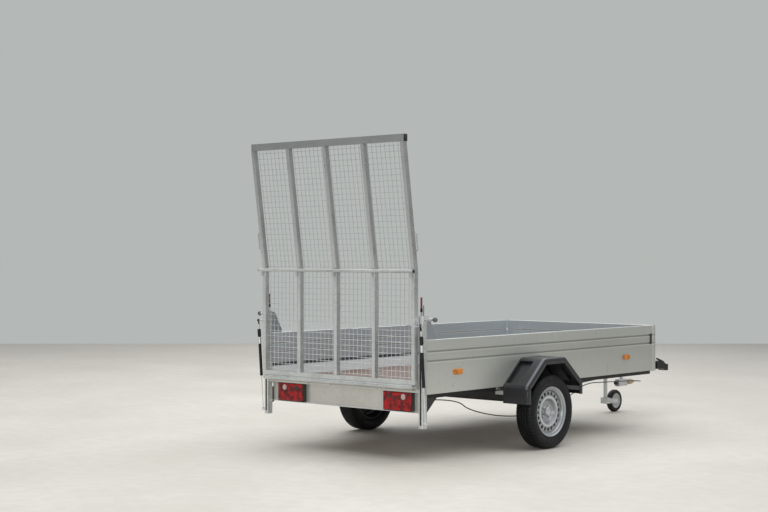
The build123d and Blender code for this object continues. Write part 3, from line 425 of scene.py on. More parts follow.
def red_grip(place):
    """Red dipped grips; the bolts' knobs outside them are dark."""
    across = axes(place)[0]
    bloom = fitted(noise(place, 30, 4), 0.38, 0.7)
    dipped = blended(bloom, paint(112, 12, 26), paint(140, 24, 38))
    return {
        "Base Color": blended(abs(across) > knob_half, dipped, paint(86, 88, 90)),
        "Roughness": fitted(bloom, 0, 1, 0.34, 0.5),
        "Normal": bumped(cells(place, 700), 0.0003, 0.3),
    }


def lens(deep, bright):
    """Lens plastic: small prisms in the inside of the moulding show as a fine grid."""

    def recipe(place):
        x, y, z = axes(place)
        ribs = ribbed(x + y, 250) * ribbed(z, 250) * 4
        depth = fitted(noise(place, 22, 2), 0.42, 0.58)
        return {
            "Base Color": blended(fitted(ribs, 0, 1) * 0.5 + depth * 0.5, deep, bright),
            "Roughness": fitted(noise(place, 40), 0.3, 0.7, 0.08, 0.18),
            "Normal": bumped(ribs, 0.0008, 0.35),
        }

    return recipe


def polished(place):
    return {
        "Base Color": blended(noise(place, 50), paint(212, 213, 214), paint(232, 232, 232)),
        "Roughness": fitted(noise(stretched(place, 1, 1, 0.02), 400), 0.3, 0.7, 0.08, 0.18),
    }


def satin_paint(place):
    cloud = fitted(noise(place, 22, 4), 0.35, 0.7)
    return {
        "Base Color": blended(cloud, paint(14, 15, 16), paint(27, 28, 29)),
        "Roughness": fitted(cloud, 0, 1, 0.28, 0.42),
        "Normal": bumped(noise(place, 420, 2), 0.0002, 0.3),
    }


FINISHES = {
    name: finish(name, recipe, fixed)
    for name, recipe, fixed in (
        ("galvanised", galvanised(paint(214, 217, 217), paint(182, 185, 185)), {}),
        ("chassis_dark", dark_coat, {"Coat Weight": 0.05, "Specular IOR Level": 0.3}),
        ("aluminium_board", board, {}),
        ("plywood", film_faced_board, {}),
        ("tyre", tyre_rubber, {"Specular IOR Level": 0.3}),
        ("rim_silver", wheel_paint, {"Metallic": 0.45, "Coat Weight": 0.05}),
        ("hub_steel", zinc_plate, {"Metallic": 0.85}),
        (
            "black_plastic",
            moulded(paint(9, 10, 15), paint(20, 22, 30)),
            {"Coat Weight": 0.35, "Coat Roughness": 0.18},
        ),
        (
            "lens_red",
            lens(paint(40, 2, 6), paint(214, 6, 14)),
            {"Coat Weight": 0.1, "Specular IOR Level": 0.3},
        ),
        ("clear_lens", moulded(paint(176, 150, 148), paint(206, 186, 182)), {"Coat Weight": 0.3}),
        ("lens_amber", lens(paint(168, 88, 8), paint(236, 150, 26)), {"Coat Weight": 0.2}),
        ("grip_red", red_grip, {}),
        ("black_paint", satin_paint, {"Coat Weight": 0.1, "Specular IOR Level": 0.25}),
        ("strut_rod", polished, {"Metallic": 1.0}),
        ("cable_rubber", moulded(paint(30, 27, 27), paint(48, 42, 40)), {}),
        ("plug_plastic", moulded(paint(176, 160, 128), paint(196, 184, 152)), {}),
        ("grey_plastic", moulded(paint(186, 188, 190), paint(208, 210, 211)), {}),
    )
}

for part in frame["record"]["subparts"]:
    solid = frame["nodes"][part["node"]]
    solid.data.materials.clear()
    solid.data.materials.append(FINISHES[part["material_slot"]])


# ------------------------ ways of making a mesh
def lathe(form, section, origin, axis, turns, dent=None):
    """Turns a closed section of (radius, along) points about an axis; dent cuts some points in."""
    turn = Vector(axis).to_track_quat("Z", "Y").to_matrix()
    rings = []
    for step in range(turns):
        for part in dent.columns if dent else (0,):
            angle = 2 * math.pi * (step + part) / turns
            ring = []
            for index, (radius, along) in enumerate(section):
                reach = radius - (dent.depth(part, index) if dent else 0)
                local = Vector((reach * math.cos(angle), reach * math.sin(angle), along))
                ring.append(form.verts.new(Vector(origin) + turn @ local))
            rings.append(ring)
    join_rings(form, rings, True)


def join_rings(form, rings, around):
    """Quads between neighbouring rings of vertices, and back to the first where they go round."""
    pairs = list(zip(rings, rings[1:]))
    if around:
        pairs.append((rings[-1], rings[0]))
    for ring, following in pairs:
        for index, vertex in enumerate(ring):
            after = (index + 1) % len(ring)
            form.faces.new((vertex, ring[after], following[after], following[index]))


def soft_box(form, low, high, edge=0.002):
    """A box between two corners with its edges rounded off."""
    made = bmesh.ops.create_cube(form, size=1)["verts"]
    low, high = Vector(low), Vector(high)
    for vertex in made:
        vertex.co = Vector(low[i] if vertex.co[i] < 0 else high[i] for i in range(3))
    edges = list({e for v in made for e in v.link_edges})
    bmesh.ops.bevel(form, geom=edges, offset=edge, segments=2, affect="EDGES", profile=0.5)


def rounded_path(corners, bends, steps=6):
    """Points and directions along a flat path in Y and Z whose corners are rounded."""
    path = []
    for index, corner in enumerate(corners):
        here = Vector(corner)
        if bends[index] == 0:
            ahead = Vector(corners[index + 1]) - here if index == 0 else here - Vector(corners[index - 1])
            path.append((here, ahead.normalized()))
            continue
        back = (Vector(corners[index - 1]) - here).normalized()
        ahead = (Vector(corners[index + 1]) - here).normalized()
        half = back.angle(ahead) / 2
        middle = here + (back + ahead).normalized() * bends[index] / math.sin(half)
        sweep = math.pi - 2 * half
        start = here + back * bends[index] / math.tan(half) - middle
        side = 1 if back.cross(ahead) < 0 else -1
        for step in range(steps + 1):
            turn = Matrix.Rotation(side * sweep * step / steps, 2)
            path.append((middle + turn @ start, turn @ -back))
    return path


def linked(name, data):
    """A new object in the scene."""
    made = bpy.data.objects.new(name, data)
    bpy.context.scene.collection.objects.link(made)
    return made


def add_piece(name, form, finish_name, body, replaces=(), crease=32):
    """Makes a finished piece from a form: merged, faces outwards, smooth but for its sharp edges."""
    bmesh.ops.remove_doubles(form, verts=form.verts, dist=1e-6)
    loose = [edge for edge in form.edges if not edge.link_faces]
    bmesh.ops.delete(form, geom=loose, context="EDGES")
    bmesh.ops.recalc_face_normals(form, faces=form.faces)
    mesh = bpy.data.meshes.new(name)
    form.to_mesh(mesh)
    form.free()
    return add_mesh(name, mesh, finish_name, body, replaces, crease)


def add_mesh(name, mesh, finish_name, body, replaces=(), crease=32):
    mesh.materials.clear()
    mesh.materials.append(FINISHES[finish_name])
    mesh.polygons.foreach_set("use_smooth", [True] * len(mesh.polygons))
    mesh.set_sharp_from_angle(angle=math.radians(crease))
    made = linked(name, mesh)
    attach(made, body)
    if replaces:
        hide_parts(*replaces)
    return made


# ------------------------ small shapes
def rod(form, start, end, radius, sides=16, edge=0.0006):
    """A round bar between two places, its ends' edges taken off."""
    along = Vector(end) - Vector(start)
    reach = along.length
    inset = radius - edge
    section = ((0, 0), (inset, 0), (radius, edge), (radius, reach - edge), (inset, reach), (0, reach))
    lathe(form, section, start, along, sides)


def collar(form, start, along, low, high, inner, outer, sides=20, edge=0.0008):
    """A ring round a bar that leaves start, from low to high along it."""
    inset = outer - edge
    face = ((inset, low), (outer, low + edge), (outer, high - edge), (inset, high))
    section = ((inner, low), *face, (inner, high))
    lathe(form, section, start, along, sides)


def boxed(form, sign, low, high, edge=0.0012):
    """A soft box given on the right, put on the side of that sign."""
    near, far = sorted((sign * low[0], sign * high[0]))
    soft_box(form, (near, low[1], low[2]), (far, high[1], high[2]), edge)


def outwards(sign, distance):
    """A step along X away from the middle plane."""
    return Vector((sign * distance, 0, 0))


def side_boxes(name, low, high, finish_name, body, edge=0.0012):
    """One piece with a soft box on each side, given on the right."""
    form = bmesh.new()
    for side, sign in SIDES:
        boxed(form, sign, low, high, edge)
    add_piece(name, form, finish_name, body)


# ------------------------ Geometry Nodes
class Tree:
    """A Geometry Nodes tree with named inputs, made in the order of its geometry's way through it."""

    def __init__(self, name, inputs):
        self.tree = bpy.data.node_groups.new(name, "GeometryNodeTree")
        face = self.tree.interface
        face.new_socket("Geometry", in_out="INPUT", socket_type="NodeSocketGeometry")
        self.names = {}
        for label, kind, value in inputs:
            socket = face.new_socket(label, in_out="INPUT", socket_type=kind)
            if value is not None:
                socket.default_value = value
            self.names[label] = socket.identifier
        face.new_socket("Geometry", in_out="OUTPUT", socket_type="NodeSocketGeometry")
        self.given = self.tree.nodes.new("NodeGroupInput")

    def node(self, kind, settings=None, values=None):
        return add_node(self.tree, kind, settings, values).outputs[0]

    def joined(self, *parts):
        join = self.tree.nodes.new("GeometryNodeJoinGeometry")
        for part in parts:
            self.tree.links.new(part, join.inputs[0])
        return join.outputs[0]

    def finish(self, geometry):
        real = self.node("GeometryNodeRealizeInstances", values={0: geometry})
        values = {0: real, "Material": self.given.outputs["Finish"]}
        dressed = self.node("GeometryNodeSetMaterial", values=values)
        self.tree.links.new(dressed, self.tree.nodes.new("NodeGroupOutput").inputs[0])

    def made_plain(self, seed, values):
        """The seed object's geometry through the tree, as a plain mesh; the seed is removed."""
        modifier = seed.modifiers.new("maker", "NODES")
        modifier.node_group = self.tree
        for label, value in values.items():
            modifier[self.names[label]] = value
        graph = bpy.context.evaluated_depsgraph_get()
        mesh = bpy.data.meshes.new_from_object(seed.evaluated_get(graph))
        seed.modifiers.remove(modifier)
        bpy.data.objects.remove(seed)
        return mesh


def fastener_tree():
    """Bolts on points: a washer, a six-sided head and the shank's end, each turned to its face."""
    tree = Tree(
        "fasteners",
        (
            ("Head height", "NodeSocketFloat", 0.7),
            ("Washer", "NodeSocketFloat", 1.3),
            ("Finish", "NodeSocketMaterial", None),
        ),
    )
    given = tree.given.outputs
    cylinder = "GeometryNodeMeshCylinder"
    washer = tree.node(cylinder, values={"Vertices": 20, "Radius": given["Washer"], "Depth": 0.3})
    head = tree.node(cylinder, values={"Vertices": 6, "Radius": 1.0, "Depth": given["Head height"]})
    raised = tree.node("GeometryNodeTransform", values={"Geometry": head, "Translation": (0, 0, 0.45)})
    shank = tree.node(cylinder, values={"Vertices": 12, "Radius": 0.55, "Depth": 2.0})
    facing = tree.node("GeometryNodeInputNamedAttribute", {"data_type": "FLOAT_VECTOR"}, {"Name": "facing"})
    size = tree.node("GeometryNodeInputNamedAttribute", {"data_type": "FLOAT"}, {"Name": "size"})
    placed = tree.node(
        "GeometryNodeInstanceOnPoints",
        values={
            "Points": given["Geometry"],
            "Instance": tree.joined(washer, raised, shank),
            "Rotation": tree.node("FunctionNodeAlignRotationToVector", {"axis": "Z"}, {"Vector": facing}),
            "Scale": size,
        },
    )
    tree.finish(placed)
    return tree


def vent_tree():
    """A ring of round holes through a wheel's disc."""
    tree = Tree(
        "vents",
        (
            ("Count", "NodeSocketInt", 20),
            ("Circle", "NodeSocketFloat", 0.134),
            ("Hole", "NodeSocketFloat", 0.007),
            ("Depth", "NodeSocketFloat", 0.1),
            ("Middle", "NodeSocketVector", None),
            ("Finish", "NodeSocketMaterial", None),
        ),
    )
    given = tree.given.outputs
    sideways = (0, math.pi / 2, 0)
    ring = tree.node("GeometryNodeMeshCircle", values={"Vertices": given["Count"], "Radius": given["Circle"]})
    values = {"Geometry": ring, "Rotation": sideways, "Translation": given["Middle"]}
    upright = tree.node("GeometryNodeTransform", values=values)
    values = {"Vertices": 20, "Radius": given["Hole"], "Depth": given["Depth"]}
    drill = tree.node("GeometryNodeMeshCylinder", values=values)
    values = {"Points": upright, "Instance": drill, "Rotation": sideways}
    drills = tree.node("GeometryNodeInstanceOnPoints", values=values)
    solid = tree.node("GeometryNodeRealizeInstances", values={0: drills})
    settings = {"operation": "DIFFERENCE", "solver": "EXACT"}
    cut = tree.node("GeometryNodeMeshBoolean", settings, {"Mesh 1": given["Geometry"], "Mesh 2": solid})
    tree.finish(cut)
    return tree


fasteners = fastener_tree()
vents = vent_tree()


def fastened(name, rows, finish_name, body, values=None):
    """One mesh of bolts from rows of place, facing and size."""
    points = bpy.data.meshes.new("points")
    points.from_pydata([place for place, facing, size in rows], [], [])
    facings = points.attributes.new("facing", "FLOAT_VECTOR", "POINT")
    facings.data.foreach_set("vector", [number for place, facing, size in rows for number in facing])
    sizes = points.attributes.new("size", "FLOAT", "POINT")
    sizes.data.foreach_set("value", [size for place, facing, size in rows])
    mesh = fasteners.made_plain(linked("seed", points), {**(values or {}), "Finish": FINISHES[finish_name]})
    add_mesh(name, mesh, finish_name, body)


# ------------------------ tyres
# half section as (radius, half width) from the bead to the tread's edge
tyre_side = (
    (0.1825, 0.0580), (0.1860, 0.0630), (0.1900, 0.0672), (0.1935, 0.0695), (0.1965, 0.0700),
    (0.1990, 0.0692), (0.2040, 0.0720), (0.2130, 0.0758), (0.2250, 0.0774), (0.2380, 0.0764),
    (0.2450, 0.0748), (0.2468, 0.0754), (0.2486, 0.0740), (0.2580, 0.0692), (0.2650, 0.0636),
    (0.2690, 0.0580), (0.2708, 0.0530),
)
shoulder_radius = 0.257
tread_radius = 0.2735
tread_half = 0.053
tread_crown = 0.0028
groove_places = (-0.036, -0.012, 0.012, 0.036)
groove_half = 0.0036
groove_floor_half = 0.0026
groove_cut = 0.0070
tyre_hollow = ((0.172, 0.047), (0.205, 0.063), (0.240, 0.060), (0.258, 0.044))


def tread_height(across):
    return tread_radius - tread_crown * (across / tread_half) ** 2


def side_points(sign):
    """One side of the section from the bead outwards; its last part is the tread's shoulder."""
    kinds = ["shoulder" if radius > shoulder_radius else "side" for radius, half in tyre_side]
    return [(radius, sign * half, kind) for (radius, half), kind in zip(tyre_side, kinds)]


def tyre_section():
    """The whole section, and what each of its points is: side, shoulder, rib or groove."""
    points = side_points(-1)
    for place in groove_places:
        for across, cut in (
            (place - groove_half, 0),
            (place - groove_floor_half, groove_cut),
            (place + groove_floor_half, groove_cut),
            (place + groove_half, 0),
        ):
            kind = "groove" if cut else "rib"
            if abs(across) > abs(groove_places[0]) and not cut:
                kind = "shoulder"
            points.append((tread_height(across) - cut, across, kind))
    points += reversed(side_points(1))
    points += [(radius, half, "side") for radius, half in tyre_hollow]
    points += [(radius, -half, "side") for radius, half in reversed(tyre_hollow)]
    return points


class Tread:
    """Cuts across the tread: a wide one over each shoulder and a thin one over the ribs, every pitch."""

    columns = (0.0, 0.05, 0.17, 0.22, 0.56, 0.60, 0.64)  # places in one pitch
    wide = (0.05, 0.17)
    thin = (0.60,)
    wide_cut = 0.0052
    thin_cut = 0.0045

    def __init__(self, kinds):
        self.kinds = kinds

    def depth(self, part, index):
        kind = self.kinds[index]
        if kind == "shoulder" and part in self.wide:
            return self.wide_cut
        if kind == "rib" and part in self.thin:
            return self.thin_cut
        return 0


pitches = 62
for side, sign in SIDES:
    section = tyre_section()
    form = bmesh.new()
    outline = [(radius, across) for radius, across, kind in section]
    cuts = Tread([kind for radius, across, kind in section])
    lathe(form, outline, wheel_middle[side], (sign, 0, 0), pitches, cuts)
    add_piece(f"tread_{side}", form, "tyre", f"wheel_{side}", (f"tyre_{side}",), 28)

# ------------------------ wheels
rim_outline = (
    (0.1825, 0.0580), (0.1720, 0.0550), (0.1520, 0.0240), (0.1520, -0.0340), (0.1720, -0.0550),
    (0.1825, -0.0580), (0.1840, -0.0610), (0.1825, -0.0640), (0.1760, -0.0630), (0.1680, -0.0600),
    (0.1500, -0.0370), (0.1470, -0.0330), (0.1470, 0.0260), (0.1180, 0.0310), (0.1060, 0.0340),
    (0.0920, 0.0240), (0.0750, 0.0020), (0.0330, 0.0020), (0.0330, 0.0080), (0.0715, 0.0080),
    (0.0755, 0.0100), (0.0795, 0.0155), (0.0880, 0.0300), (0.0930, 0.0362), (0.0985, 0.0393),
    (0.1040, 0.0402), (0.1095, 0.0400), (0.1140, 0.0388), (0.1190, 0.0358), (0.1340, 0.0342),
    (0.1460, 0.0334), (0.1500, 0.0342), (0.1530, 0.0372), (0.1562, 0.0450), (0.1590, 0.0500),
    (0.1622, 0.0532), (0.1680, 0.0556), (0.1725, 0.0575), (0.1760, 0.0605), (0.1795, 0.0640),
    (0.1825, 0.0650), (0.1843, 0.0636), (0.1843, 0.0605),
)
cap_outline = (
    (0, 0.0100), (0.0330, 0.0100), (0.0330, 0.0130), (0.0305, 0.0150), (0.0302, 0.0330),
    (0.0290, 0.0370), (0.0260, 0.0396), (0.0200, 0.0408), (0, 0.0410),
)
rim_turns = 120
nut_count = 4
nut_circle = 0.050
nut_size = 0.0088
for side, sign in SIDES:
    form = bmesh.new()
    lathe(form, rim_outline, wheel_middle[side], (sign, 0, 0), rim_turns)
    bmesh.ops.recalc_face_normals(form, faces=form.faces)
    blank = bpy.data.meshes.new("blank")
    form.to_mesh(blank)
    form.free()
    disc = wheel_middle[side] + outwards(sign, 0.03)
    values = {"Count": 20, "Circle": 0.1335, "Hole": 0.0134, "Depth": 0.06, "Middle": disc}
    vented = vents.made_plain(linked("seed", blank), {**values, "Finish": FINISHES["rim_silver"]})
    add_mesh(f"vented_rim_{side}", vented, "rim_silver", f"wheel_{side}", (f"rim_{side}",), 26)
    # the brake's shield behind the vents, black: partly the real dark shield, partly painted shade so the holes
    # read dark
    form = bmesh.new()
    collar(form, wheel_middle[side], (sign, 0, 0), 0.010, 0.016, 0.096, 0.1455, 72)
    add_piece(f"brake_shield_{side}", form, "black_paint", f"wheel_{side}")
    form = bmesh.new()
    lathe(form, cap_outline, wheel_middle[side], (sign, 0, 0), 48)
    add_piece(f"hub_cap_{side}", form, "hub_steel", f"wheel_{side}")
    rows = []
    for nut in range(nut_count):
        angle = math.pi / 4 + 2 * math.pi * nut / nut_count
        spoke = Vector((0, math.cos(angle), math.sin(angle))) * nut_circle
        rows.append((wheel_middle[side] + spoke + outwards(sign, 0.0095), (sign, 0, 0), nut_size))
    fastened(f"wheel_nuts_{side}", rows, "hub_steel", f"wheel_{side}", {"Head height": 1.3})

# ------------------------ mudguards
guard_inner = 0.770
guard_outer = 0.990
guard_lip = 0.045
guard_corners = (  # from the axle, height
    (-0.350, 0.350),
    (-0.350, 0.480),
    (-0.130, 0.673),
    (0.130, 0.673),
    (0.360, 0.480),
    (0.360, 0.383),
)
guard_bends = (0, 0.030, 0.050, 0.050, 0.040, 0)
pocket_cut = 0.024
pocket_inner = 0.782
pocket_outer = 0.902
guard_path = rounded_path([(axle.y + along, height) for along, height in guard_corners], guard_bends)
# across the guard: X, depth under the outline, 1 where a pocket may sink it
guard_top_line = (
    (guard_inner, 0.0015, 0),
    (pocket_inner, 0.0015, 0),
    (pocket_inner + 0.003, 0.0015, 1),
    (pocket_outer - 0.003, 0.0015, 1),
    (pocket_outer, 0.0015, 0),
    (0.952, 0.0015, 0),
    (0.956, 0.0003, 0),
    (0.974, 0, 0),
    (0.983, 0.0018, 0),
    (0.9882, 0.0065, 0),
    (guard_outer, 0.013, 0),
    (guard_outer, guard_lip - 0.002, 0),
    (guard_outer - 0.001, guard_lip, 0),
    (guard_outer - 0.004, guard_lip, 0),
    (guard_outer - 0.0045, 0.014, 0),
    (0.980, 0.0042, 0),
    (pocket_outer, 0.004, 0),
    (pocket_outer - 0.003, 0.004, 1),
    (pocket_inner + 0.003, 0.004, 1),
    (pocket_inner, 0.004, 0),
    (guard_inner, 0.004, 0),
)
pocket_heights = (0.500, 0.650)


def guard_stations():
    """Stations along the guard, with extra ones at each pocket's ends."""
    stations = []
    for (place, along), following in zip(guard_path, guard_path[1:]):
        stations.append((place, along))
        slope = following[0] - place
        if slope.length > 0.15 and abs(slope.x) > 0.1 and abs(slope.y) > 0.05:
            for height in sorted(pocket_heights, reverse=slope.y < 0):
                for nudge in (-0.0015, 0.0015):
                    share = (height - place.y) / slope.y + nudge / slope.length
                    stations.append((place + slope * share, along))
    stations.append(guard_path[-1])
    return stations


for side, sign in SIDES:
    form = bmesh.new()
    rings = []
    for place, along in guard_stations():
        inward = Vector((along.y, -along.x))
        sloped = abs(along.x) > 0.3 and abs(along.y) > 0.3
        sunk = sloped and pocket_heights[0] < place.y < pocket_heights[1]
        ring = []
        for x, depth, pocket in guard_top_line:
            spot = place + inward * (depth + (pocket_cut if pocket and sunk else 0))
            ring.append(form.verts.new((sign * x, spot.x, spot.y)))
        rings.append(ring)
    join_rings(form, rings, False)
    form.faces.new(rings[0])
    form.faces.new(rings[-1])
    add_piece(f"moulded_guard_{side}", form, "black_plastic", "trailer", (f"mudguard_{side}",), 30)


# the web that closes the arch against the box
web_bottom = 0.445
web_faces = (0.7704, 0.7736)
for side, sign in SIDES:
    form = bmesh.new()
    outline = [place + Vector((along.y, -along.x)) * 0.003 for place, along in guard_path]
    outline = [spot for spot in outline if spot.y > web_bottom]
    outline = [Vector((outline[0].x, web_bottom)), *outline, Vector((outline[-1].x, web_bottom))]
    rings = [[form.verts.new((sign * x, spot.x, spot.y)) for spot in outline] for x in web_faces]
    join_rings(form, rings, False)
    for ring in rings:
        form.faces.new(ring)
    add_piece(f"guard_web_{side}", form, "black_plastic", "trailer")


# ------------------------ rear lamps
lens_low, lens_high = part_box("lamp_lenses")
lens_length = 0.252
lens_height = lens_high.z - lens_low.z


def on_lens(sign, inward, up):
    """A place on a lens's face: shares of its length from the outer end and of its height."""
    return Vector((sign * (lens_high.x - lens_length * inward), lens_low.y, lens_low.z + lens_height * up))


def button(form, spot, proud, radius, sides):
    """A round face on a lens, standing proud of it."""
    rod(form, spot + Vector((0, 0.001, 0)), spot - Vector((0, proud, 0)), radius, sides)


form = bmesh.new()
for side, sign in SIDES:
    button(form, on_lens(sign, 0.27, 0.77), 0.0022, 0.0200, 32)
add_piece("lamp_spots", form, "clear_lens", "trailer")
form = bmesh.new()
for side, sign in SIDES:
    button(form, on_lens(sign, 0.76, 0.80), 0.0016, 0.0150, 28)
    for inward in (0.36, 0.66):
        foot = on_lens(sign, inward, 0.03)
        head = on_lens(sign, inward, 0.97)
        soft_box(form, foot + Vector((-0.0012, -0.0006, 0)), head + Vector((0.0012, 0.001, 0)), 0.0004)
add_piece("lamp_dark_parts", form, "black_plastic", "trailer")
form = bmesh.new()
for side, sign in SIDES:
    middle = on_lens(sign, 0.51, 0.2)
    soft_box(form, middle - Vector((0.030, 0.0030, 0.011)), middle + Vector((0.030, 0.001, 0.011)), 0.0015)
    for inward in (0.18, 0.83):
        button(form, on_lens(sign, inward, 0.42), 0.0016, 0.030, 36)
add_piece("lamp_reflectors", form, "lens_red", "trailer")

# ------------------------ ramp latches
bolt_y = rear_edge + 0.014
bolt_z = 0.987
lever_x = 0.746
lever_y = rear_edge + 0.004
form = bmesh.new()
for side, sign in SIDES:
    boxed(form, sign, (0.7745, rear_edge - 0.008, 0.960), (0.7805, rear_edge + 0.034, 1.008))
    collar(form, (sign * 0.7800, bolt_y, bolt_z), (sign, 0, 0), 0, 0.016, 0.0098, 0.0145)
    collar(form, (sign * 0.8180, bolt_y, bolt_z), (sign, 0, 0), 0, 0.005, 0.0098, 0.0130)
    rod(form, (sign * 0.7700, rear_edge + 0.020, 1.008), (sign * 0.7700, rear_edge + 0.020, 1.026), 0.0045)
add_piece("latch_plates", form, "hub_steel", "trailer")
form = bmesh.new()
for side, sign in SIDES:
    low = (lever_x - 0.0070, lever_y - 0.0060, 1.037)
    high = (lever_x + 0.0070, lever_y + 0.0060, 1.0615)
    boxed(form, sign, low, high)
    rod(form, (sign * 0.7580, rear_edge + 0.014, 1.008), (sign * 0.7580, rear_edge + 0.014, 1.082), 0.0028)
    rod(form, (sign * 0.7803, rear_edge + 0.028, 0.970), (sign * 0.7812, rear_edge + 0.028, 0.970), 0.0042)
add_piece("latch_dark_parts", form, "black_paint", "trailer")

# ------------------------ gas strut fittings
strut_x = 0.795
strut_top = Vector((hinge_y - 0.012, 0.940))
strut_foot = Vector((rear_edge - 0.012, 0.275))
strut_down = strut_foot - strut_top
for side, sign in SIDES:
    start = Vector((sign * strut_x, *strut_top))
    along = Vector((0, *strut_down))
    form = bmesh.new()
    collar(form, start, along, 0.126, 0.176, 0.0108, 0.0118)
    collar(form, start, along, 0.030, 0.066, 0.0048, 0.0066)
    add_piece(f"strut_sleeve_{side}", form, "strut_rod", f"strut_tube_{side}")
    form = bmesh.new()
    collar(form, start, along, 0.0685, 0.120, 0.0108, 0.0132)
    collar(form, start, along, 0.4080, 0.4165, 0.0108, 0.0122)
    add_piece(f"strut_caps_{side}", form, "black_paint", f"strut_tube_{side}")
    form = bmesh.new()
    rod(form, start + outwards(sign, 0.0066), start + outwards(sign, 0.0105), 0.0085, 20)
    rod(form, start + outwards(sign, 0.0100), start + outwards(sign, 0.0130), 0.0048, 6)
    collar(form, start - outwards(sign, 0.0500), (sign, 0, 0), 0, 0.006, 0.0048, 0.0105)
    add_piece(f"strut_stud_{side}", form, "hub_steel", "ramp")

# ------------------------ end plugs of the ramp's tubes
rail_low, rail_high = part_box("ramp_tubes")
rail_depth = 0.036
rail_height = 0.050
rail_end = 0.743
crease_y = hinge_y - 0.044
crease_z = 1.317
form = bmesh.new()
for side, sign in SIDES:
    low = (rail_end - 0.001, rail_low.y + 0.0003, rail_high.z - rail_height + 0.0003)
    high = (rail_end + 0.0042, rail_low.y + rail_depth - 0.0003, rail_high.z - 0.0003)
    boxed(form, sign, low, high)
    rod(form, (sign * 0.7542, crease_y, crease_z), (sign * 0.7582, crease_y, crease_z), 0.0119, 24)
add_piece("ramp_end_plugs", form, "black_plastic", "ramp")
low = (rail_end - 0.001, hinge_y - 0.0148, 0.5402)
high = (rail_end + 0.0015, hinge_y + 0.0148, 0.5698)
side_boxes("ramp_base_ends", low, high, "galvanised", "ramp")

# ------------------------ cable, its clips and the plug
cable_route = (  # X, ahead of the deck's rear edge, height
    (0.532, 0.045, 0.404),
    (0.532, 0.330, 0.404),
    (0.560, 0.640, 0.372),
    (0.570, 0.740, 0.300),
    (0.570, 1.100, 0.222),
    (0.566, 1.500, 0.196),
    (0.430, 2.200, 0.262),
    (0.215, 2.778, 0.344),
    (0.206, 3.140, 0.329),
    (0.208, 3.560, 0.316),
    (0.208, 3.708, 0.301),
    (0.142, 3.708, 0.301),
    (0.142, 3.672, 0.301),
)
run = bpy.data.curves.new("cable_run", "CURVE")
run.dimensions = "3D"
run.bevel_depth = 0.004
run.bevel_resolution = 3
run.resolution_u = 16
run.use_fill_caps = True
spline = run.splines.new("NURBS")
spline.points.add(len(cable_route) - 1)
for point, (x, ahead, height) in zip(spline.points, cable_route):
    point.co = (x, rear_edge + ahead, height, 1)
spline.order_u = 3
spline.use_endpoint_u = True
run.materials.append(FINISHES["cable_rubber"])
cable = linked("cable_run", run)
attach(cable, "trailer")
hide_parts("cable")

form = bmesh.new()
clip_y = rear_edge + 0.162
collar(form, (0.532, clip_y - 0.006, 0.404), (0, 1, 0), 0, 0.012, 0.0039, 0.0056)
soft_box(form, (0.5308, clip_y - 0.006, 0.409), (0.5332, clip_y + 0.006, 0.4402), 0.0005)
add_piece("cable_clip", form, "hub_steel", "trailer")

holder_low, holder_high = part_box("plug_holder")
plug_low, plug_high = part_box("plug")
plug_x = (plug_low.x + plug_high.x) / 2
plug_z = (plug_low.z + plug_high.z) / 2
form = bmesh.new()
for step in range(7):
    start = (plug_x, holder_high.y + 0.012 + 0.0105 * step, plug_z)
    collar(form, start, (0, 1, 0), 0, 0.005, 0.0205, 0.0226, 28)
add_piece("plug_ribs", form, "plug_plastic", "trailer")
form = bmesh.new()
rod(form, (plug_x, holder_low.y - 0.030, plug_z), (plug_x, holder_low.y + 0.001, plug_z), 0.0165, 28, 0.003)
collar(form, (plug_x, holder_high.y - 0.004, plug_z), (0, 1, 0), 0, 0.010, 0.0165, 0.0235, 28)
add_piece("holder_cap", form, "black_plastic", "trailer")

# ------------------------ bolts
rows = []
for side, sign in SIDES:
    for x in (0.110, 0.330, 0.655, 0.688):
        rows.append(((sign * x, rear_edge - 0.0034, 0.494), (0, -1, 0), 0.0052))
    for height in (0.362, 0.464):
        rows.append(((sign * 0.697, rear_edge + 0.0412, height), (0, -1, 0), 0.0050))
fastened("sill_bolts", rows, "hub_steel", "trailer")

# ------------------------ jockey wheel's fittings
jockey_x = jockey_middle.x
jockey_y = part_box("jockey_leg")[0].y + 0.018
clamp_z = 0.409
form = bmesh.new()
rod(form, (jockey_x - 0.032, jockey_y, clamp_z), (jockey_x - 0.062, jockey_y, clamp_z), 0.0055)
handle_x = jockey_x - 0.058
rod(form, (handle_x, jockey_y, clamp_z - 0.038), (handle_x, jockey_y, clamp_z + 0.038), 0.0045)
for height in (0.332, 0.626):
    collar(form, (jockey_x, jockey_y, height), (0, 0, 1), 0, 0.010, 0.0236, 0.0262, 32)
add_piece("jockey_clamp_screw", form, "hub_steel", "trailer")
form = bmesh.new()
crank_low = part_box("jockey_crank")[0]
crank_y = crank_low.y + 0.006
rod(form, (jockey_x, crank_y, crank_low.z), (jockey_x, crank_y, crank_low.z + 0.058), 0.0115, 24, 0.002)
add_piece("jockey_crank_grip", form, "black_plastic", "trailer")

# ------------------------ fittings on the box's sides
low, high = (0.7445, rear_edge + 0.845, 0.447), (0.7485, rear_edge + 0.935, 0.469)
side_boxes("stay_brackets", low, high, "hub_steel", "trailer")
# painted shade: a thin black strip on each front post stands in for the shade in its groove
low, high = (0.7695, rear_edge + 2.916, 0.690), (0.7735, rear_edge + 2.944, 0.776)
side_boxes("post_shade_strips", low, high, "black_plastic", "trailer", 0.001)
# painted shade: a thin black strip on each pillar's rear face stands in for the shaded opening of its channel
low, high = (0.7500, rear_edge - 0.0184, 0.262), (0.7630, rear_edge - 0.0170, 0.955)
side_boxes("pillar_shade_strips", low, high, "black_paint", "trailer", 0.0003)


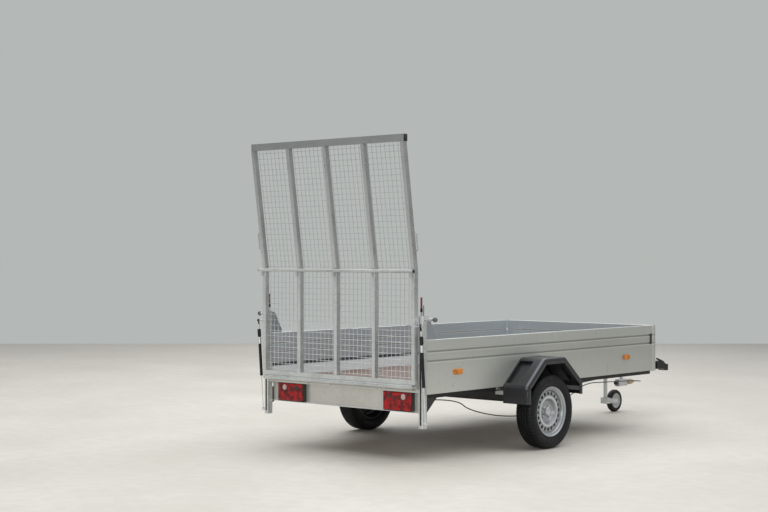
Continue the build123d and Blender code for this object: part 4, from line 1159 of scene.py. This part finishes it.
# ------------------------ stage, light and camera
camera_place = Vector((7.2759, rear_edge - 7.74695, 1.4206))
camera_turn = math.radians(41.56)
view_along = Vector((-math.sin(camera_turn), math.cos(camera_turn), 0))
view_right = Vector((math.cos(camera_turn), math.sin(camera_turn), 0))
floor_ahead = 24.0  # from the camera to the floor's far edge
floor_behind = 30.0
floor_half = 45.0
backdrop = paint(180, 184, 182)
world_strength = 0.28
camera_lens = 69.46
lights = (  # name, place, what it is turned to, size, watts
    ("overhead", (0.0, 2.0, 8.0), (0, 2.0, 0), (17.0, 17.0), 1340),
    ("camera_side", (5.4, -10.6, 2.9), (0, -0.5, 0.5), (7.0, 3.0), 345),
    ("low_behind", (-4.0, -6.6, 0.72), (0, -2.2, 0.5), (2.8, 0.8), 6.0),
)


def pale_floor(place):
    cloud = fitted(noise(place, 0.7, 5), 0.35, 0.65)
    fine = fitted(noise(place, 9, 5), 0.35, 0.7)
    # painted falloff of the light: the floor is painted darker towards the front right
    x, y, z = axes(place)
    painted_falloff = fitted(x * 0.75 + y * 0.66, -1.0, 6.0, 0, 0.62)
    colour = blended(cloud, paint(218, 214, 205), paint(228, 225, 218))
    colour = blended(fine * 0.4, colour, paint(206, 201, 192))
    return {
        "Base Color": blended(painted_falloff, colour, paint(150, 147, 146)),
        "Roughness": fitted(cloud, 0, 1, 0.5, 0.62),
        "Normal": bumped(noise(place, 60, 4), 0.0008, 0.15),
    }


def make_stage():
    corners = [
        camera_place + view_along * along + view_right * across
        for along, across in (
            (-floor_behind, -floor_half),
            (-floor_behind, floor_half),
            (floor_ahead, floor_half),
            (floor_ahead, -floor_half),
        )
    ]
    mesh = bpy.data.meshes.new("floor")
    mesh.from_pydata([(c.x, c.y, 0) for c in corners], [], [(0, 1, 2, 3)])
    mesh.materials.append(finish("floor", pale_floor, {}))
    floor = linked("floor", mesh)


def make_world():
    """Pale even light; the camera and mirror-like surfaces see the backdrop's colour."""
    world = bpy.data.worlds.new("studio")
    world.use_nodes = True
    tree = world.node_tree
    tree.nodes.clear()
    start = Shade(tree)
    seen = start.node("ShaderNodeLightPath", out="Is Camera Ray")
    for ray in ("Is Glossy Ray", "Is Transmission Ray"):
        seen = seen.maths("MAXIMUM", seen, start.node("ShaderNodeLightPath", out=ray))
    light = start.node("ShaderNodeBackground", values={"Color": (1, 1, 1, 1), "Strength": world_strength})
    shown = start.node("ShaderNodeBackground", values={"Color": backdrop, "Strength": 1})
    mixed = start.node("ShaderNodeMixShader", values={0: seen, 1: light, 2: shown})
    start.node("ShaderNodeOutputWorld", values={"Surface": mixed})
    bpy.context.scene.world = world


def add_light(name, place, target, size, power):
    data = bpy.data.lights.new(name, "AREA")
    data.shape = "RECTANGLE"
    data.size, data.size_y = size
    data.energy = power
    lamp = linked(name, data)
    lamp.location = place
    lamp.rotation_euler = (Vector(target) - Vector(place)).to_track_quat("-Z", "Y").to_euler()


def make_camera():
    data = bpy.data.cameras.new("camera")
    data.lens = camera_lens
    data.sensor_width = 36
    camera = linked("camera", data)
    camera.location = camera_place
    camera.rotation_euler = (math.radians(90), 0, camera_turn)
    bpy.context.scene.camera = camera


make_stage()
make_world()
for light in lights:
    add_light(*light)
make_camera()
bpy.context.scene.view_settings.view_transform = "Standard"
